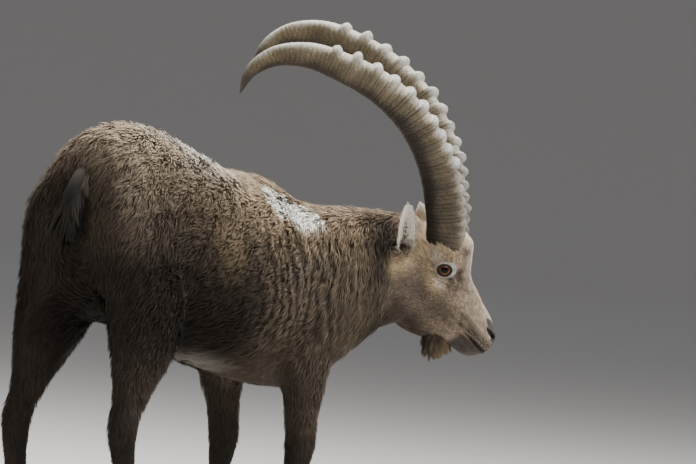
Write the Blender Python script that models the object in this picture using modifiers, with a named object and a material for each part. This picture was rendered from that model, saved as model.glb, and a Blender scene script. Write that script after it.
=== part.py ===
"""An adult male alpine ibex, life size, standing still with its head turned to its right and lowered.

The trunk runs along +X from tail to chest, +Y is the animal's left and +Z is up, in metres. The flesh is
made whole as lofts, fused, and parted with thin flat cuts. Outlines are those of the winter coat.
"""

import math
import random

import bmesh
import bpy
import numpy as np
from mathutils import Euler, Matrix, Vector

# Driving sizes
HEAD_PLACE = Vector((0.342, -0.271, 0.668))
HEAD_YAW, HEAD_ROLL, HEAD_PITCH = -57.5, 6.4, 48.0
GAP = 0.0003
RING_POINTS = 40
HORN_DEPTH = 0.082
HORN_WIDTH = 0.064
EYE_RADIUS = 0.018
LEG_SIDE = 0.122
CLAW_TOP = 0.047
SEED = 7

MM = 0.001
random.seed(SEED)

SHARP = 40

# Colour, roughness
LOOKS = {
    "coat": ((0.125, 0.090, 0.066), 0.95),
    "dark_coat": ((0.045, 0.028, 0.020), 0.95),
    "face": ((0.150, 0.110, 0.080), 0.9),
    "ear": ((0.260, 0.215, 0.170), 0.9),
    "horn": ((0.190, 0.150, 0.110), 0.55),
    "hoof": ((0.030, 0.026, 0.023), 0.5),
    "eye": ((0.120, 0.045, 0.012), 0.08),
}


def clear_scene():
    for thing in list(bpy.data.objects):
        bpy.data.objects.remove(thing, do_unlink=True)


def collection(name):
    made = bpy.data.collections.new(name)
    bpy.context.scene.collection.children.link(made)
    return made


def material(look):
    found = bpy.data.materials.get(look)
    if found:
        return found
    colour, roughness = LOOKS[look]
    made = bpy.data.materials.new(look)
    made.use_nodes = True
    shader = made.node_tree.nodes["Principled BSDF"]
    shader.inputs["Base Color"].default_value = (*colour, 1.0)
    shader.inputs["Roughness"].default_value = roughness
    shader.inputs["Metallic"].default_value = 0.0
    made.diffuse_color = (*colour, 1.0)
    return made


def object_from(points, faces, name, home):
    mesh = bpy.data.meshes.new(name)
    mesh.from_pydata([tuple(p) for p in points], [], [tuple(f) for f in faces])
    made = bpy.data.objects.new(name, mesh)
    home.objects.link(made)
    return made


def loft(rings, name, home):
    """A closed tube through rings of equally many points, closed by a fan at each end."""
    count = len(rings[0])
    points = [p for ring in rings for p in ring]
    first = len(points)
    points += [np.mean(rings[0], axis=0), np.mean(rings[-1], axis=0)]
    faces = []
    for i in range(len(rings) - 1):
        for k in range(count):
            n = (k + 1) % count
            faces.append((i * count + k, i * count + n, (i + 1) * count + n, (i + 1) * count + k))
    last = (len(rings) - 1) * count
    for k in range(count):
        n = (k + 1) % count
        faces.append((first, n, k))
        faces.append((first + 1, last + k, last + n))
    made = object_from(points, faces, name, home)
    face_outward(made.data)
    return made


def edited(mesh, work):
    """Runs work(bmesh) on a mesh and writes it back."""
    bm = bmesh.new()
    bm.from_mesh(mesh)
    work(bm)
    bm.to_mesh(mesh)
    bm.free()
    mesh.update()


def face_outward(mesh):
    def work(bm):
        bmesh.ops.recalc_face_normals(bm, faces=bm.faces)
        if bm.calc_volume(signed=True) < 0:
            bmesh.ops.reverse_faces(bm, faces=bm.faces)

    edited(mesh, work)


def curve_through(keys, values, at):
    """A cubic curve through values given at rising keys, read at the places in at."""
    keys, values, at = (np.asarray(a, float) for a in (keys, values, at))
    slopes = np.gradient(values, keys, axis=0)
    low = np.clip(np.searchsorted(keys, at) - 1, 0, len(keys) - 2)
    span = keys[low + 1] - keys[low]
    t = (at - keys[low]) / span
    if values.ndim > 1:
        t, span = t[:, None], span[:, None]
    return (
        values[low] * (2 * t**3 - 3 * t**2 + 1)
        + values[low + 1] * (3 * t**2 - 2 * t**3)
        + slopes[low] * span * (t**3 - 2 * t**2 + t)
        + slopes[low + 1] * span * (t**3 - t**2)
    )


def eased(share):
    """A smooth step from 0 to 1, level beyond."""
    share = min(max(share, 0.0), 1.0)
    return share * share * (3 - 2 * share)


def refined(rows, steps):
    """More rows between the given ones, on smooth curves, keyed by the first column."""
    rows = np.asarray(rows, float)
    at = np.concatenate(
        [np.linspace(a, b, steps, endpoint=False) for a, b in zip(rows[:-1, 0], rows[1:, 0])]
        + [rows[-1:, 0]]
    )
    return np.column_stack([at, curve_through(rows[:, 0], rows[:, 1:], at)])


def oval(centre, side, up, width, top, bottom, power_top=2.0, power_bottom=2.0, count=RING_POINTS):
    """A ring round centre: width to each side, top above and bottom below, squarer for a higher power."""
    angle = np.linspace(0, 2 * math.pi, count, endpoint=False)
    across, over = np.cos(angle), np.sin(angle)
    power = np.where(over > 0, power_top, power_bottom)
    reach = np.where(over > 0, top, bottom)
    x = width * np.sign(across) * np.abs(across) ** (2 / power)
    y = reach * np.sign(over) * np.abs(over) ** (2 / power)
    return np.asarray(centre) + np.outer(x, side) + np.outer(y, up)


# The spine in plan: along counts forward from the withers, and the heading turns right towards the neck.
HEADING_FRONT = math.radians(-4.0)
BEND = math.radians(-16.0)


def heading(along):
    return HEADING_FRONT + BEND * min(along, 0.0)


def spine(along):
    """The point of the spine line in plan at a distance forward of the withers."""
    steps = 24
    x = y = 0.0
    for i in range(steps):
        h = heading(along * (i + 0.5) / steps)
        x += math.cos(h) * along / steps
        y += math.sin(h) * along / steps
    return x, y


def trunk_place(along, side, height):
    """A world point from a distance along the spine, a distance to the left of it and a height."""
    x, y = spine(along)
    h = heading(along)
    return np.array((x - math.sin(h) * side, y + math.cos(h) * side, height))


# Along, back line, belly line, height of the widest level, half width, squareness above and below
TRUNK = [
    (-0.580, 0.790, 0.610, 0.700, 0.050, 2.0, 2.0),
    (-0.570, 0.832, 0.575, 0.700, 0.088, 2.0, 2.0),
    (-0.545, 0.876, 0.540, 0.700, 0.126, 2.1, 2.0),
    (-0.500, 0.905, 0.515, 0.690, 0.150, 2.1, 2.0),
    (-0.430, 0.919, 0.492, 0.680, 0.162, 2.0, 2.0),
    (-0.340, 0.908, 0.470, 0.665, 0.174, 1.95, 2.1),
    (-0.240, 0.877, 0.440, 0.645, 0.187, 1.9, 2.2),
    (-0.120, 0.840, 0.405, 0.620, 0.194, 1.85, 2.2),
    (0.000, 0.834, 0.385, 0.605, 0.184, 1.8, 2.1),
    (0.070, 0.808, 0.375, 0.595, 0.162, 1.8, 2.0),
    (0.120, 0.775, 0.385, 0.575, 0.136, 1.9, 2.0),
    (0.165, 0.710, 0.420, 0.560, 0.100, 2.0, 2.0),
    (0.185, 0.640, 0.475, 0.555, 0.050, 2.0, 2.0),
]

# Along the neck line, forward and left place, top, underside, half width
NECK = [
    (0.00, 0.010, -0.010, 0.815, 0.430, 0.150),
    (0.11, 0.095, -0.073, 0.783, 0.372, 0.150),
    (0.20, 0.170, -0.121, 0.783, 0.436, 0.126),
    (0.27, 0.228, -0.157, 0.784, 0.490, 0.104),
    (0.32, 0.268, -0.186, 0.784, 0.527, 0.078),
    (0.36, 0.296, -0.218, 0.770, 0.552, 0.066),
    (0.40, 0.318, -0.250, 0.735, 0.590, 0.050),
    (0.42, 0.328, -0.266, 0.705, 0.620, 0.028),
]


def trunk_piece(home):
    rings = []
    for along, top, bottom, widest, half, power_top, power_bottom in refined(TRUNK, 3):
        centre = trunk_place(along, 0.0, widest)
        side = trunk_place(along, 1.0, widest) - centre
        rings.append(
            oval(centre, side, (0, 0, 1), half, top - widest, widest - bottom, power_top, power_bottom)
        )
    return loft(rings, "trunk_piece", home)


def neck_piece(home):
    rows = refined(NECK, 3)
    rings = []
    for i, (_, x, y, top, bottom, half) in enumerate(rows):
        ahead = rows[min(i + 1, len(rows) - 1), 1:3] - rows[max(i - 1, 0), 1:3]
        ahead /= np.linalg.norm(ahead)
        side = np.array((-ahead[1], ahead[0], 0.0))
        widest = bottom + 0.47 * (top - bottom)
        rings.append(oval((x, y, widest), side, (0, 0, 1), half, top - widest, widest - bottom, 1.9, 1.9))
    return loft(rings, "neck_piece", home)


# Height, place along the spine, half length, half width, distance from the middle plane
FORELEG = [
    (0.020, 0.105, 0.028, 0.030, 0.0),
    (0.047, 0.098, 0.030, 0.032, 0.0),
    (0.066, 0.086, 0.028, 0.030, 0.0),
    (0.090, 0.074, 0.033, 0.033, 0.0),
    (0.125, 0.070, 0.027, 0.027, 0.0),
    (0.190, 0.072, 0.027, 0.027, 0.0),
    (0.232, 0.080, 0.034, 0.033, 0.0),
    (0.265, 0.084, 0.039, 0.037, 0.0),
    (0.300, 0.080, 0.040, 0.037, 0.0),
    (0.360, 0.075, 0.051, 0.044, 0.002),
    (0.420, 0.069, 0.069, 0.054, 0.002),
    (0.470, 0.066, 0.093, 0.060, 0.0),
    (0.530, 0.062, 0.110, 0.060, -0.003),
    (0.600, 0.050, 0.122, 0.058, -0.012),
    (0.680, 0.020, 0.100, 0.048, -0.026),
    (0.760, -0.010, 0.062, 0.030, -0.044),
]
HINDLEG = [
    (0.020, -0.482, 0.028, 0.030, 0.0),
    (0.047, -0.489, 0.030, 0.032, 0.0),
    (0.066, -0.500, 0.028, 0.030, 0.0),
    (0.090, -0.512, 0.033, 0.033, 0.0),
    (0.125, -0.518, 0.028, 0.027, 0.0),
    (0.200, -0.530, 0.029, 0.026, 0.0),
    (0.255, -0.541, 0.038, 0.029, 0.0),
    (0.295, -0.542, 0.045, 0.032, 0.0),
    (0.340, -0.520, 0.050, 0.035, 0.0),
    (0.400, -0.492, 0.075, 0.044, 0.0),
    (0.460, -0.471, 0.105, 0.058, -0.002),
    (0.530, -0.461, 0.115, 0.071, -0.009),
    (0.600, -0.466, 0.115, 0.076, -0.018),
    (0.680, -0.476, 0.116, 0.077, -0.024),
    (0.760, -0.481, 0.106, 0.069, -0.034),
    (0.840, -0.460, 0.070, 0.045, -0.050),
]
# How far each foot is set forward of the plain stance
STRIDE = {"fore_right": 0.0, "fore_left": 0.030, "hind_right": 0.035, "hind_left": -0.020}
STRIDE_TOP, STRIDE_BOTTOM = 0.62, 0.07
LEG_POINTS = 28
SIDES = {"right": -1, "left": 1}


def stride_at(leg, height):
    """The forward shift of a leg at a height: whole at the foot, none at the body."""
    return STRIDE[leg] * eased((STRIDE_TOP - height) / (STRIDE_TOP - STRIDE_BOTTOM))


def leg_piece(leg, home):
    end, side_name = leg.split("_")
    rows = refined(FORELEG if end == "fore" else HINDLEG, 2)
    rings = []
    for height, along, half_length, half_width, outward in rows:
        side = SIDES[side_name] * (LEG_SIDE + outward)
        place = along + stride_at(leg, height)
        centre = trunk_place(place, side, height)
        ahead = trunk_place(place + 0.01, side, height) - centre
        ahead /= np.linalg.norm(ahead)
        left = np.array((-ahead[1], ahead[0], 0.0))
        rings.append(oval(centre, left, ahead, half_width, half_length, half_length, count=LEG_POINTS))
    return loft(rings, "leg_piece", home)


# The head's own frame: x towards the nose along the face, y to the animal's left, z towards the forehead,
# with its origin between the eyes.
HEAD_TURN = (
    Matrix.Rotation(math.radians(HEAD_YAW), 3, "Z")
    @ Matrix.Rotation(math.radians(HEAD_ROLL), 3, "X")
    @ Matrix.Rotation(math.radians(HEAD_PITCH), 3, "Y")
)
HEAD_AXES = np.array(HEAD_TURN)
HEAD_FRAME = Matrix.Translation(HEAD_PLACE) @ HEAD_TURN.to_4x4()


def from_head(point_mm):
    """A world point from millimetres in the head's frame."""
    return np.array(HEAD_PLACE) + HEAD_AXES @ (np.asarray(point_mm, float) * MM)


def in_head(points):
    """World points as millimetres in the head's frame."""
    return (np.asarray(points) - np.array(HEAD_PLACE)) @ HEAD_AXES / MM


# Place along the face, top, underside, widest level, half width, squareness above and below, in mm
HEAD = [
    (-102, 15, -95, -35, 30, 2.0, 2.0),
    (-86, 45, -122, -32, 50, 2.0, 2.0),
    (-55, 72, -146, -25, 66, 2.1, 2.0),
    (-25, 80, -160, -14, 73, 2.2, 2.0),
    (0, 76, -167, -8, 72, 2.2, 1.9),
    (24, 54, -167, -12, 64, 2.2, 1.8),
    (43, 38, -163, -18, 56, 2.2, 1.8),
    (66, 27, -154, -26, 49, 2.2, 1.8),
    (88, 22, -140, -32, 44, 2.2, 1.8),
    (110, 17, -120, -34, 41, 2.2, 1.9),
    (131, 13, -102, -34, 39, 2.3, 2.0),
    (148, 10, -97, -34, 38, 2.3, 2.0),
    (160, 6, -94, -34, 37, 2.3, 2.1),
    (172, 1, -89, -35, 36, 2.3, 2.2),
    (183, -4, -81, -36, 33, 2.3, 2.3),
    (191, -11, -71, -37, 27, 2.3, 2.2),
    (196, -19, -61, -39, 18, 2.1, 2.1),
    (199, -31, -52, -42, 8, 2.0, 2.0),
]

# Swellings and hollows of the face: place in mm for the left side, reach, and height
FACE_FORMS = [
    ((-12, 60, 34), 17, 5.0),
    ((-46, 60, 36), 27, 13.0),
    ((-4, 42, 62), 20, 4.0),
    ((-30, 68, 0), 26, 3.0),
    ((28, 58, -6), 15, -5.0),
    ((10, 68, -34), 20, 3.5),
    ((15, 62, -80), 38, 5.0),
    ((70, 48, -58), 30, -4.5),
    ((96, 34, 2), 26, -3.0),
    ((118, 42, -40), 24, 2.0),
    ((165, 30, -38), 16, 3.0),
    ((176, 24, -6), 12, 3.0),
    ((166, 20, -76), 16, 3.0),
    ((140, 30, -68), 12, -2.0),
    ((52, 0, 34), 20, -3.0),
    ((168, 0, 4), 14, -1.5),
]


def head_piece(home):
    rings = []
    side, up = HEAD_AXES[:, 1], HEAD_AXES[:, 2]
    for along, top, bottom, widest, half, power_top, power_bottom in refined(HEAD, 3):
        rings.append(
            oval(
                from_head((along, 0, widest)),
                side,
                up,
                half * MM,
                (top - widest) * MM,
                (widest - bottom) * MM,
                power_top,
                power_bottom,
            )
        )
    return loft(rings, "head_piece", home)


def joined(pieces, name, home):
    """One object holding copies of the pieces' meshes, which may cross."""
    bm = bmesh.new()
    for piece in pieces:
        bm.from_mesh(piece.data)
    mesh = bpy.data.meshes.new(name)
    bm.to_mesh(mesh)
    bm.free()
    made = bpy.data.objects.new(name, mesh)
    home.objects.link(made)
    return made


def settle(thing):
    """Applies an object's modifiers by taking its evaluated mesh."""
    bpy.context.view_layer.update()
    graph = bpy.context.evaluated_depsgraph_get()
    mesh = bpy.data.meshes.new_from_object(thing.evaluated_get(graph))
    thing.modifiers.clear()
    thing.data = mesh
    return thing


def fuse_smooth(thing, voxel, rounds):
    """Turns crossing closed pieces into one smooth surface."""
    remesh = thing.modifiers.new("fuse", "REMESH")
    remesh.mode = "VOXEL"
    remesh.voxel_size = voxel
    smooth = thing.modifiers.new("smooth", "SMOOTH")
    smooth.factor = 0.5
    smooth.iterations = rounds
    settle(thing)
    keep_largest(thing.data)


def thin_out(thing, triangles):
    """Collapses a mesh to about a number of triangles."""
    edited(thing.data, lambda bm: bmesh.ops.triangulate(bm, faces=bm.faces))
    collapse = thing.modifiers.new("collapse", "DECIMATE")
    collapse.ratio = min(1.0, triangles / len(thing.data.polygons))
    settle(thing)


def islands(bm):
    """The connected sets of faces."""
    left = set(bm.faces)
    found = []
    while left:
        start = left.pop()
        group, queue = [start], [start]
        while queue:
            for edge in queue.pop().edges:
                for face in edge.link_faces:
                    if face in left:
                        left.discard(face)
                        group.append(face)
                        queue.append(face)
        found.append(group)
    return found


def keep_largest(mesh):
    """Drops all but the closed surface with the largest box."""

    def work(bm):
        bm.faces.ensure_lookup_table()
        groups = islands(bm)
        if len(groups) < 2:
            return

        def size(group):
            spots = np.array([v.co for f in group for v in f.verts])
            return np.ptp(spots, axis=0).sum()

        best = max(groups, key=size)
        drop = {f for g in groups if g is not best for f in g}
        bmesh.ops.delete(bm, geom=list(drop), context="FACES")

    edited(mesh, work)


def cut_flat(mesh, point, normal):
    """Keeps what lies ahead of a plane, half a gap clear of it, and closes the cut."""
    normal = Vector(normal).normalized()

    def work(bm):
        geom = bm.verts[:] + bm.edges[:] + bm.faces[:]
        place = Vector(point) + normal * (GAP / 2)
        bmesh.ops.bisect_plane(bm, geom=geom, dist=1e-6, plane_co=place, plane_no=normal, clear_inner=True)
        rim = [e for e in bm.edges if e.is_boundary]
        bmesh.ops.holes_fill(bm, edges=rim, sides=0)
        bmesh.ops.dissolve_degenerate(bm, dist=2e-5, edges=bm.edges)
        bmesh.ops.triangulate(bm, faces=bm.faces)

    edited(mesh, work)


def part_of(whole, name, planes, home):
    """A node cut from the whole by planes given as (point, normal)."""
    mesh = whole.data.copy()
    made = bpy.data.objects.new(name, mesh)
    home.objects.link(made)
    for point, normal in planes:
        cut_flat(mesh, point, normal)
    return made


def keep_near(mesh, point):
    """Keeps the closed surface whose middle is nearest a point."""

    def work(bm):
        def far(group):
            spots = np.array([v.co for f in group for v in f.verts])
            return np.linalg.norm(spots.mean(axis=0) - np.asarray(point))

        groups = islands(bm)
        best = min(groups, key=far)
        drop = {f for g in groups if g is not best for f in g}
        if drop:
            bmesh.ops.delete(bm, geom=list(drop), context="FACES")

    edited(mesh, work)


def combine(thing, others, operation, solver="EXACT"):
    """Joins or takes away other objects, then removes them."""
    home = bpy.data.collections.new("combine")
    bpy.context.scene.collection.children.link(home)
    for other in others:
        for old in list(other.users_collection):
            old.objects.unlink(other)
        home.objects.link(other)
    step = thing.modifiers.new("combine", "BOOLEAN")
    step.operation = operation
    step.solver = solver
    step.operand_type = "COLLECTION"
    step.collection = home
    settle(thing)
    for other in others:
        bpy.data.objects.remove(other, do_unlink=True)
    bpy.data.collections.remove(home)
    return thing


def tidy(thing):
    """Welds specks, makes triangles and keeps the one closed surface."""

    def work(bm):
        bmesh.ops.remove_doubles(bm, verts=bm.verts, dist=3e-5)
        bmesh.ops.dissolve_degenerate(bm, dist=2e-5, edges=bm.edges)
        bmesh.ops.triangulate(bm, faces=bm.faces)

    edited(thing.data, work)
    keep_largest(thing.data)


def grown(host, cutters, by=GAP):
    """A copy of a host, its surface moved out by a gap, to cut what grows from it."""
    made = bpy.data.objects.new(host.name + "_grown", host.data.copy())
    cutters.objects.link(made)
    made.hide_render = True
    made.display_type = "WIRE"
    swell = made.modifiers.new("swell", "DISPLACE")
    swell.strength = by
    swell.mid_level = 0.0
    return settle(made)


def seat(thing, host, cutters):
    """Cuts a piece's root to the surface that it grows from."""
    combine(thing, [grown(host, cutters)], "DIFFERENCE")
    tidy(thing)
    return thing


def finish_node(thing, look):
    thing.data.materials.clear()
    thing.data.materials.append(material(look))
    thing.data.shade_smooth()
    thing.data.set_sharp_from_angle(angle=math.radians(KNOB_SHADE if look == "horn" else SHARP))


def ball(radius, place, home, name="ball", rings=12, segments=20, turn=None, scale=(1, 1, 1)):
    bm = bmesh.new()
    bmesh.ops.create_uvsphere(bm, u_segments=segments, v_segments=rings, radius=radius)
    move = Matrix.Translation(Vector(place)) @ (turn or Matrix()) @ Matrix.Diagonal((*scale, 1))
    bmesh.ops.transform(bm, matrix=move, verts=bm.verts)
    mesh = bpy.data.meshes.new(name)
    bm.to_mesh(mesh)
    bm.free()
    made = bpy.data.objects.new(name, mesh)
    home.objects.link(made)
    return made


# Locks: shares of the length at their rings, and the width and thickness there
LOCK_SHARES = (0.0, 0.34, 0.62, 0.84)
LOCK_WIDTHS = (0.80, 1.00, 0.80, 0.45)


def lock(root, out, lie, across, length, width, thickness, home):
    """A flat tapered closed lock that leaves its root along one way and bends over into its lie."""
    root, out, lie = Vector(root), Vector(out).normalized(), Vector(lie).normalized()
    points = []
    for share, wide in zip(LOCK_SHARES, LOCK_WIDTHS):
        centre = root + out * (length * share * (1 - share / 2)) + lie * (length * share * share / 2)
        run = (out * (1 - share) + lie * share).normalized()
        flat = (Vector(across) - run * run.dot(across)).normalized()
        up = run.cross(flat)
        half, thin = width / 2 * wide, thickness / 2 * (0.4 + 0.6 * wide)
        points += [centre + flat * half, centre + up * thin, centre - flat * half, centre - up * thin]
    points.append(root + out * (length / 2) + lie * (length / 2))
    count = len(LOCK_SHARES)
    faces = [(0, 2, 1), (0, 3, 2)]
    for i in range(count - 1):
        for j in range(4):
            a, b = 4 * i + j, 4 * i + (j + 1) % 4
            faces += [(a, b, b + 4), (a, b + 4, a + 4)]
    last = 4 * (count - 1)
    faces += [(last + j, last + (j + 1) % 4, last + 4) for j in range(4)]
    made = object_from(points, faces, "lock", home)
    face_outward(made.data)
    return made


# Horns: control points of the middle line in the head's frame, in mm, for the left horn
HORN_LINE = [
    (-28, 38, 14),
    (-51, 41, 40),
    (-125, 62, 94),
    (-205, 90, 133),
    (-297, 120, 151),
    (-387, 146, 141),
    (-468, 164, 108),
    (-540, 173, 61),
    (-579, 173, 3),
    (-584, 167, -56),
    (-562, 160, -103),
]
HORN_SIDES = 10
KNOB_SHADE = 62
HORN_KNOBS = 16
KNOB_HEIGHT = 0.0110
# Shares of the horn's length: the first knob, and the steps between knobs at the base and added by the last
KNOB_FIRST, KNOB_STEP, KNOB_STEP_MORE, KNOB_STRAY = 0.060, 0.027, 0.034, 0.002
KNOB_HALF_LENGTH, KNOB_HALF_MORE = 0.0112, 0.0035
# Where along a knob's half length its rings lie, and the rings between the last knob and the tip
KNOB_RINGS = (-1.0, -0.45, 0.40, 0.98)
TIP_RINGS = (0.16, 0.34, 0.50, 0.64, 0.76, 0.86, 0.93, 0.98)
# The left horn of a pair is never quite the right one: its upper length stands a little further back.
LEFT_HORN_LEAN = (-24, 0, 3)


def horn_rows():
    """Places along the horn line, evenly read, as an array of points in mm and the share of the length."""
    points = np.array(HORN_LINE, float)
    steps = np.linalg.norm(np.diff(points, axis=0), axis=1)
    keys = np.concatenate([[0], np.cumsum(steps)])
    return keys / keys[-1], points


def knob_places():
    """Shares of the length where a knob's crest lies: close at the base, wide apart further up."""
    places = []
    at = KNOB_FIRST
    for i in range(HORN_KNOBS):
        places.append(at)
        at += KNOB_STEP + KNOB_STEP_MORE * (i / (HORN_KNOBS - 1)) + random.uniform(-KNOB_STRAY, KNOB_STRAY)
    return places


def horn_shape(share, knobs):
    """Half depth and half width of a horn and the rise of its front at a share of its length."""
    depth = HORN_DEPTH / 2 * (1 - 0.22 * share) * max(1 - share**5, 0.0) ** 0.75
    width = HORN_WIDTH / 2 * (1 - 0.30 * share) * max(1 - share**4, 0.0) ** 0.8
    rise = 0.0
    for place, half_length, strength in knobs:
        gap = min(abs(share - place) / half_length, 1.0)
        rise = max(rise, strength * (1 - gap * gap))
    return max(depth, 0.0015), max(width, 0.0015), rise


def horn(side_name, home):
    side = SIDES[side_name]
    keys, points = horn_rows()
    if side > 0:
        points = points + np.outer(np.clip((keys - 0.3) / 0.4, 0, 1), LEFT_HORN_LEAN)
    knobs = []
    for i, place in enumerate(knob_places()):
        strength = 0.45 + 0.55 * min(i / 6, 1.0)
        strength *= random.uniform(0.75, 1.05) * (1.25 if i % 4 == 2 else 1.0)
        half_length = KNOB_HALF_LENGTH + KNOB_HALF_MORE * min(i / 10, 1.0)
        knobs.append((place, half_length, KNOB_HEIGHT * strength))
    shares = [0.0, 0.03]
    for place, half_length, _ in knobs:
        shares += [place + half_length * step for step in KNOB_RINGS]
    last = shares[-1]
    shares += list(last + (1 - last) * np.array(TIP_RINGS))
    shares = np.array(shares)
    middle = curve_through(keys, points, shares)
    ahead = curve_through(keys, points, np.minimum(shares + 0.004, 1.0)) - curve_through(
        keys, points, np.maximum(shares - 0.004, 0.0)
    )
    rings = []
    angle = np.linspace(0, 2 * math.pi, HORN_SIDES, endpoint=False)
    for share, centre, along in zip(shares, middle, ahead):
        along = along / np.linalg.norm(along)
        lateral = np.array((0.0, 1.0, 0.0)) - along * along[1]
        lateral /= np.linalg.norm(lateral)
        front = np.cross(lateral, along)
        depth, width, rise = horn_shape(share, knobs)
        fore, across = np.cos(angle), np.sin(angle)
        # broad and flat in front, narrower behind
        x = depth * np.sign(fore) * np.abs(fore) ** np.where(fore > 0, 0.75, 1.0)
        y = width * np.sign(across) * np.abs(across) ** 0.8 * (1 + 0.12 * fore)
        lift = np.clip(fore + 0.25, 0, 1)
        x = x + rise * lift
        y = y * (1 + 0.35 * rise / width * np.clip(fore + 0.6, 0, 1))
        ring = centre * MM + np.outer(x, front) + np.outer(y, lateral)
        ring[:, 1] *= side
        rings.append(np.array([from_head(p / MM) for p in ring]))
    if side < 0:
        rings = [ring[::-1] for ring in rings]
    made = loft(rings, "horn_" + side_name, home)
    edited(made.data, lambda bm: bmesh.ops.triangulate(bm, faces=bm.faces))
    return made


# Eyes
EYE_PLACE = (0.0, 59.0, 0.0)
EYE_LOOK = (0.22, 0.95, 0.18)
LID_RADIUS = EYE_RADIUS + 0.0042
LID_OPENING = (0.0152, 0.0118)
LID_TILT = 45.0
EYE_RINGS, EYE_SEGMENTS = 10, 16


def mirrored(point, side):
    return (point[0], point[1] * side, point[2])


def look_turn(side):
    """A turn whose z axis is the way the eye looks and x axis is the length of the lids."""
    z = Vector(mirrored(EYE_LOOK, side)).normalized()
    tilt = math.radians(LID_TILT)
    x = Vector((math.cos(tilt), 0.0, math.sin(tilt)))
    x = (x - z * x.dot(z)).normalized()
    y = z.cross(x)
    local = Matrix((x, y, z)).transposed()
    return (HEAD_TURN @ local).to_4x4()


def open_eyes(head, cutters):
    """Raises the lids round each eye and opens them."""
    for side in SIDES.values():
        centre = from_head(mirrored(EYE_PLACE, side))
        turn = look_turn(side)
        lids = ball(LID_RADIUS, centre, cutters, rings=10, segments=16, turn=turn)
        combine(head, [lids], "UNION")
        socket = ball(EYE_RADIUS + GAP, centre, cutters, rings=EYE_RINGS, segments=EYE_SEGMENTS, turn=turn)
        combine(head, [socket], "DIFFERENCE")
        out = np.array(turn.to_3x3())[:, 2]
        reach = LID_RADIUS * 1.15
        opening = ball(
            reach,
            centre + out * reach * 0.98,
            cutters,
            rings=10,
            segments=16,
            turn=turn,
            scale=(LID_OPENING[0] / reach, LID_OPENING[1] / reach, 1.0),
        )
        combine(head, [opening], "DIFFERENCE")


def eye(side_name, home):
    side = SIDES[side_name]
    return ball(
        EYE_RADIUS,
        from_head(mirrored(EYE_PLACE, side)),
        home,
        name="eye_" + side_name,
        rings=EYE_RINGS,
        segments=EYE_SEGMENTS,
        turn=look_turn(side),
    )


# Mouth line: place along the face, to the side and up, and half the gape, in mm, from the front to the corner
MOUTH_LINE = [
    (200, 0, -45, 4.2),
    (196, 15, -45, 4.2),
    (190, 26, -45.5, 4.2),
    (182, 33, -46, 4.0),
    (171, 37, -46.5, 3.6),
    (157, 39, -48, 2.6),
    (144, 40.5, -50.5, 1.6),
    (134, 41, -52.5, 0.8),
]
MOUTH_DEPTH = 12.0
MOUTH_CORNER_DEPTH = 4.5
# Half the gape at the wedge's inner edge, how far it starts outside the lips, and where it points, in mm
MOUTH_INNER, MOUTH_OUTER, MOUTH_HEART = 0.3, 5.0, 120.0


def mouth_cutter(home):
    """A wedge along the mouth line, thickest outside."""
    line = np.array(MOUTH_LINE, float)
    whole = np.vstack([line[::-1], line[1:] * (1, -1, 1, 1)])
    rings = []
    for i, (*point, gape) in enumerate(whole):
        inward = np.array((MOUTH_HEART, 0.0, point[2])) - point
        inward /= np.linalg.norm(inward)
        out = point - inward * MOUTH_OUTER
        end = i in (0, len(whole) - 1)
        back = point + inward * (MOUTH_CORNER_DEPTH if end else MOUTH_DEPTH)
        rings.append(
            np.array(
                [
                    from_head(out + (0, 0, gape)),
                    from_head(out - (0, 0, gape)),
                    from_head(back - (0, 0, MOUTH_INNER)),
                    from_head(back + (0, 0, MOUTH_INNER)),
                ]
            )
        )
    return loft(rings, "mouth_cutter", home)


# Nostrils: the middle of the left opening in mm, its dip and turn in degrees, and its half sizes in metres
NOSTRIL_PLACE = (174.0, 22.5, -9.5)
NOSTRIL_DIP, NOSTRIL_TURN = 6, -20
NOSTRIL_SIZE = (0.0160, 0.0080, 0.0050)


def nostril_cutters(home):
    made = []
    for side in SIDES.values():
        slant = Euler((0.0, math.radians(NOSTRIL_DIP), math.radians(NOSTRIL_TURN * side)))
        turn = (HEAD_TURN @ slant.to_matrix()).to_4x4()
        place = from_head(mirrored(NOSTRIL_PLACE, side))
        made.append(ball(1.0, place, home, rings=8, segments=12, turn=turn, scale=NOSTRIL_SIZE))
    return made


def shape_face(mesh):
    """Moves the head's surface out or in by the face forms."""
    count = len(mesh.vertices)
    spots = np.empty(count * 3)
    normals = np.empty(count * 3)
    mesh.vertices.foreach_get("co", spots)
    mesh.vertices.foreach_get("normal", normals)
    spots, normals = spots.reshape(-1, 3), normals.reshape(-1, 3)
    local = in_head(spots)
    rise = np.zeros(count)
    for (x, y, z), reach, height in FACE_FORMS:
        for side in ((1, -1) if y else (1,)):
            away = np.linalg.norm(local - (x, y * side, z), axis=1) / reach
            rise += height * np.exp(-away * away)
    spots += normals * (rise * MM)[:, None]
    mesh.vertices.foreach_set("co", spots.ravel())
    mesh.update()


# Ears, in the head's frame, for the left ear: root, bend and tip of the middle line in mm, and the way
# that the cup opens
EAR_ROOT = (-80.0, 56.0, -52.0)
EAR_BEND = (-89.0, 112.0, -30.0)
# The left ear is turned a little further down than the right one.
EAR_TIPS = {"right": (-160.0, 132.0, 36.0), "left": (-137.0, 132.0, 22.0)}
EAR_OPEN = {"right": (0.40, 0.88, 0.20), "left": (0.66, 0.70, 0.22)}
EAR_HALF_WIDTH = 0.0180
EAR_WALL = 0.0034
EAR_ROWS, EAR_COLUMNS = 11, 8
# Share of the half width at the root, where along the length the ear is rolled and then open, and how far
# round it curls in degrees when rolled and when open
EAR_ROOT_WIDTH = 0.36
EAR_ROLLED, EAR_UNROLLED = 0.20, 0.58
EAR_CURL_ROLLED, EAR_CURL_OPEN = 170, 52
EAR_LEAST_HALF = 0.0018
# Above 1, rows stand closer together towards the rounded tip.
EAR_TIP_ROWS = 1.45


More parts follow.
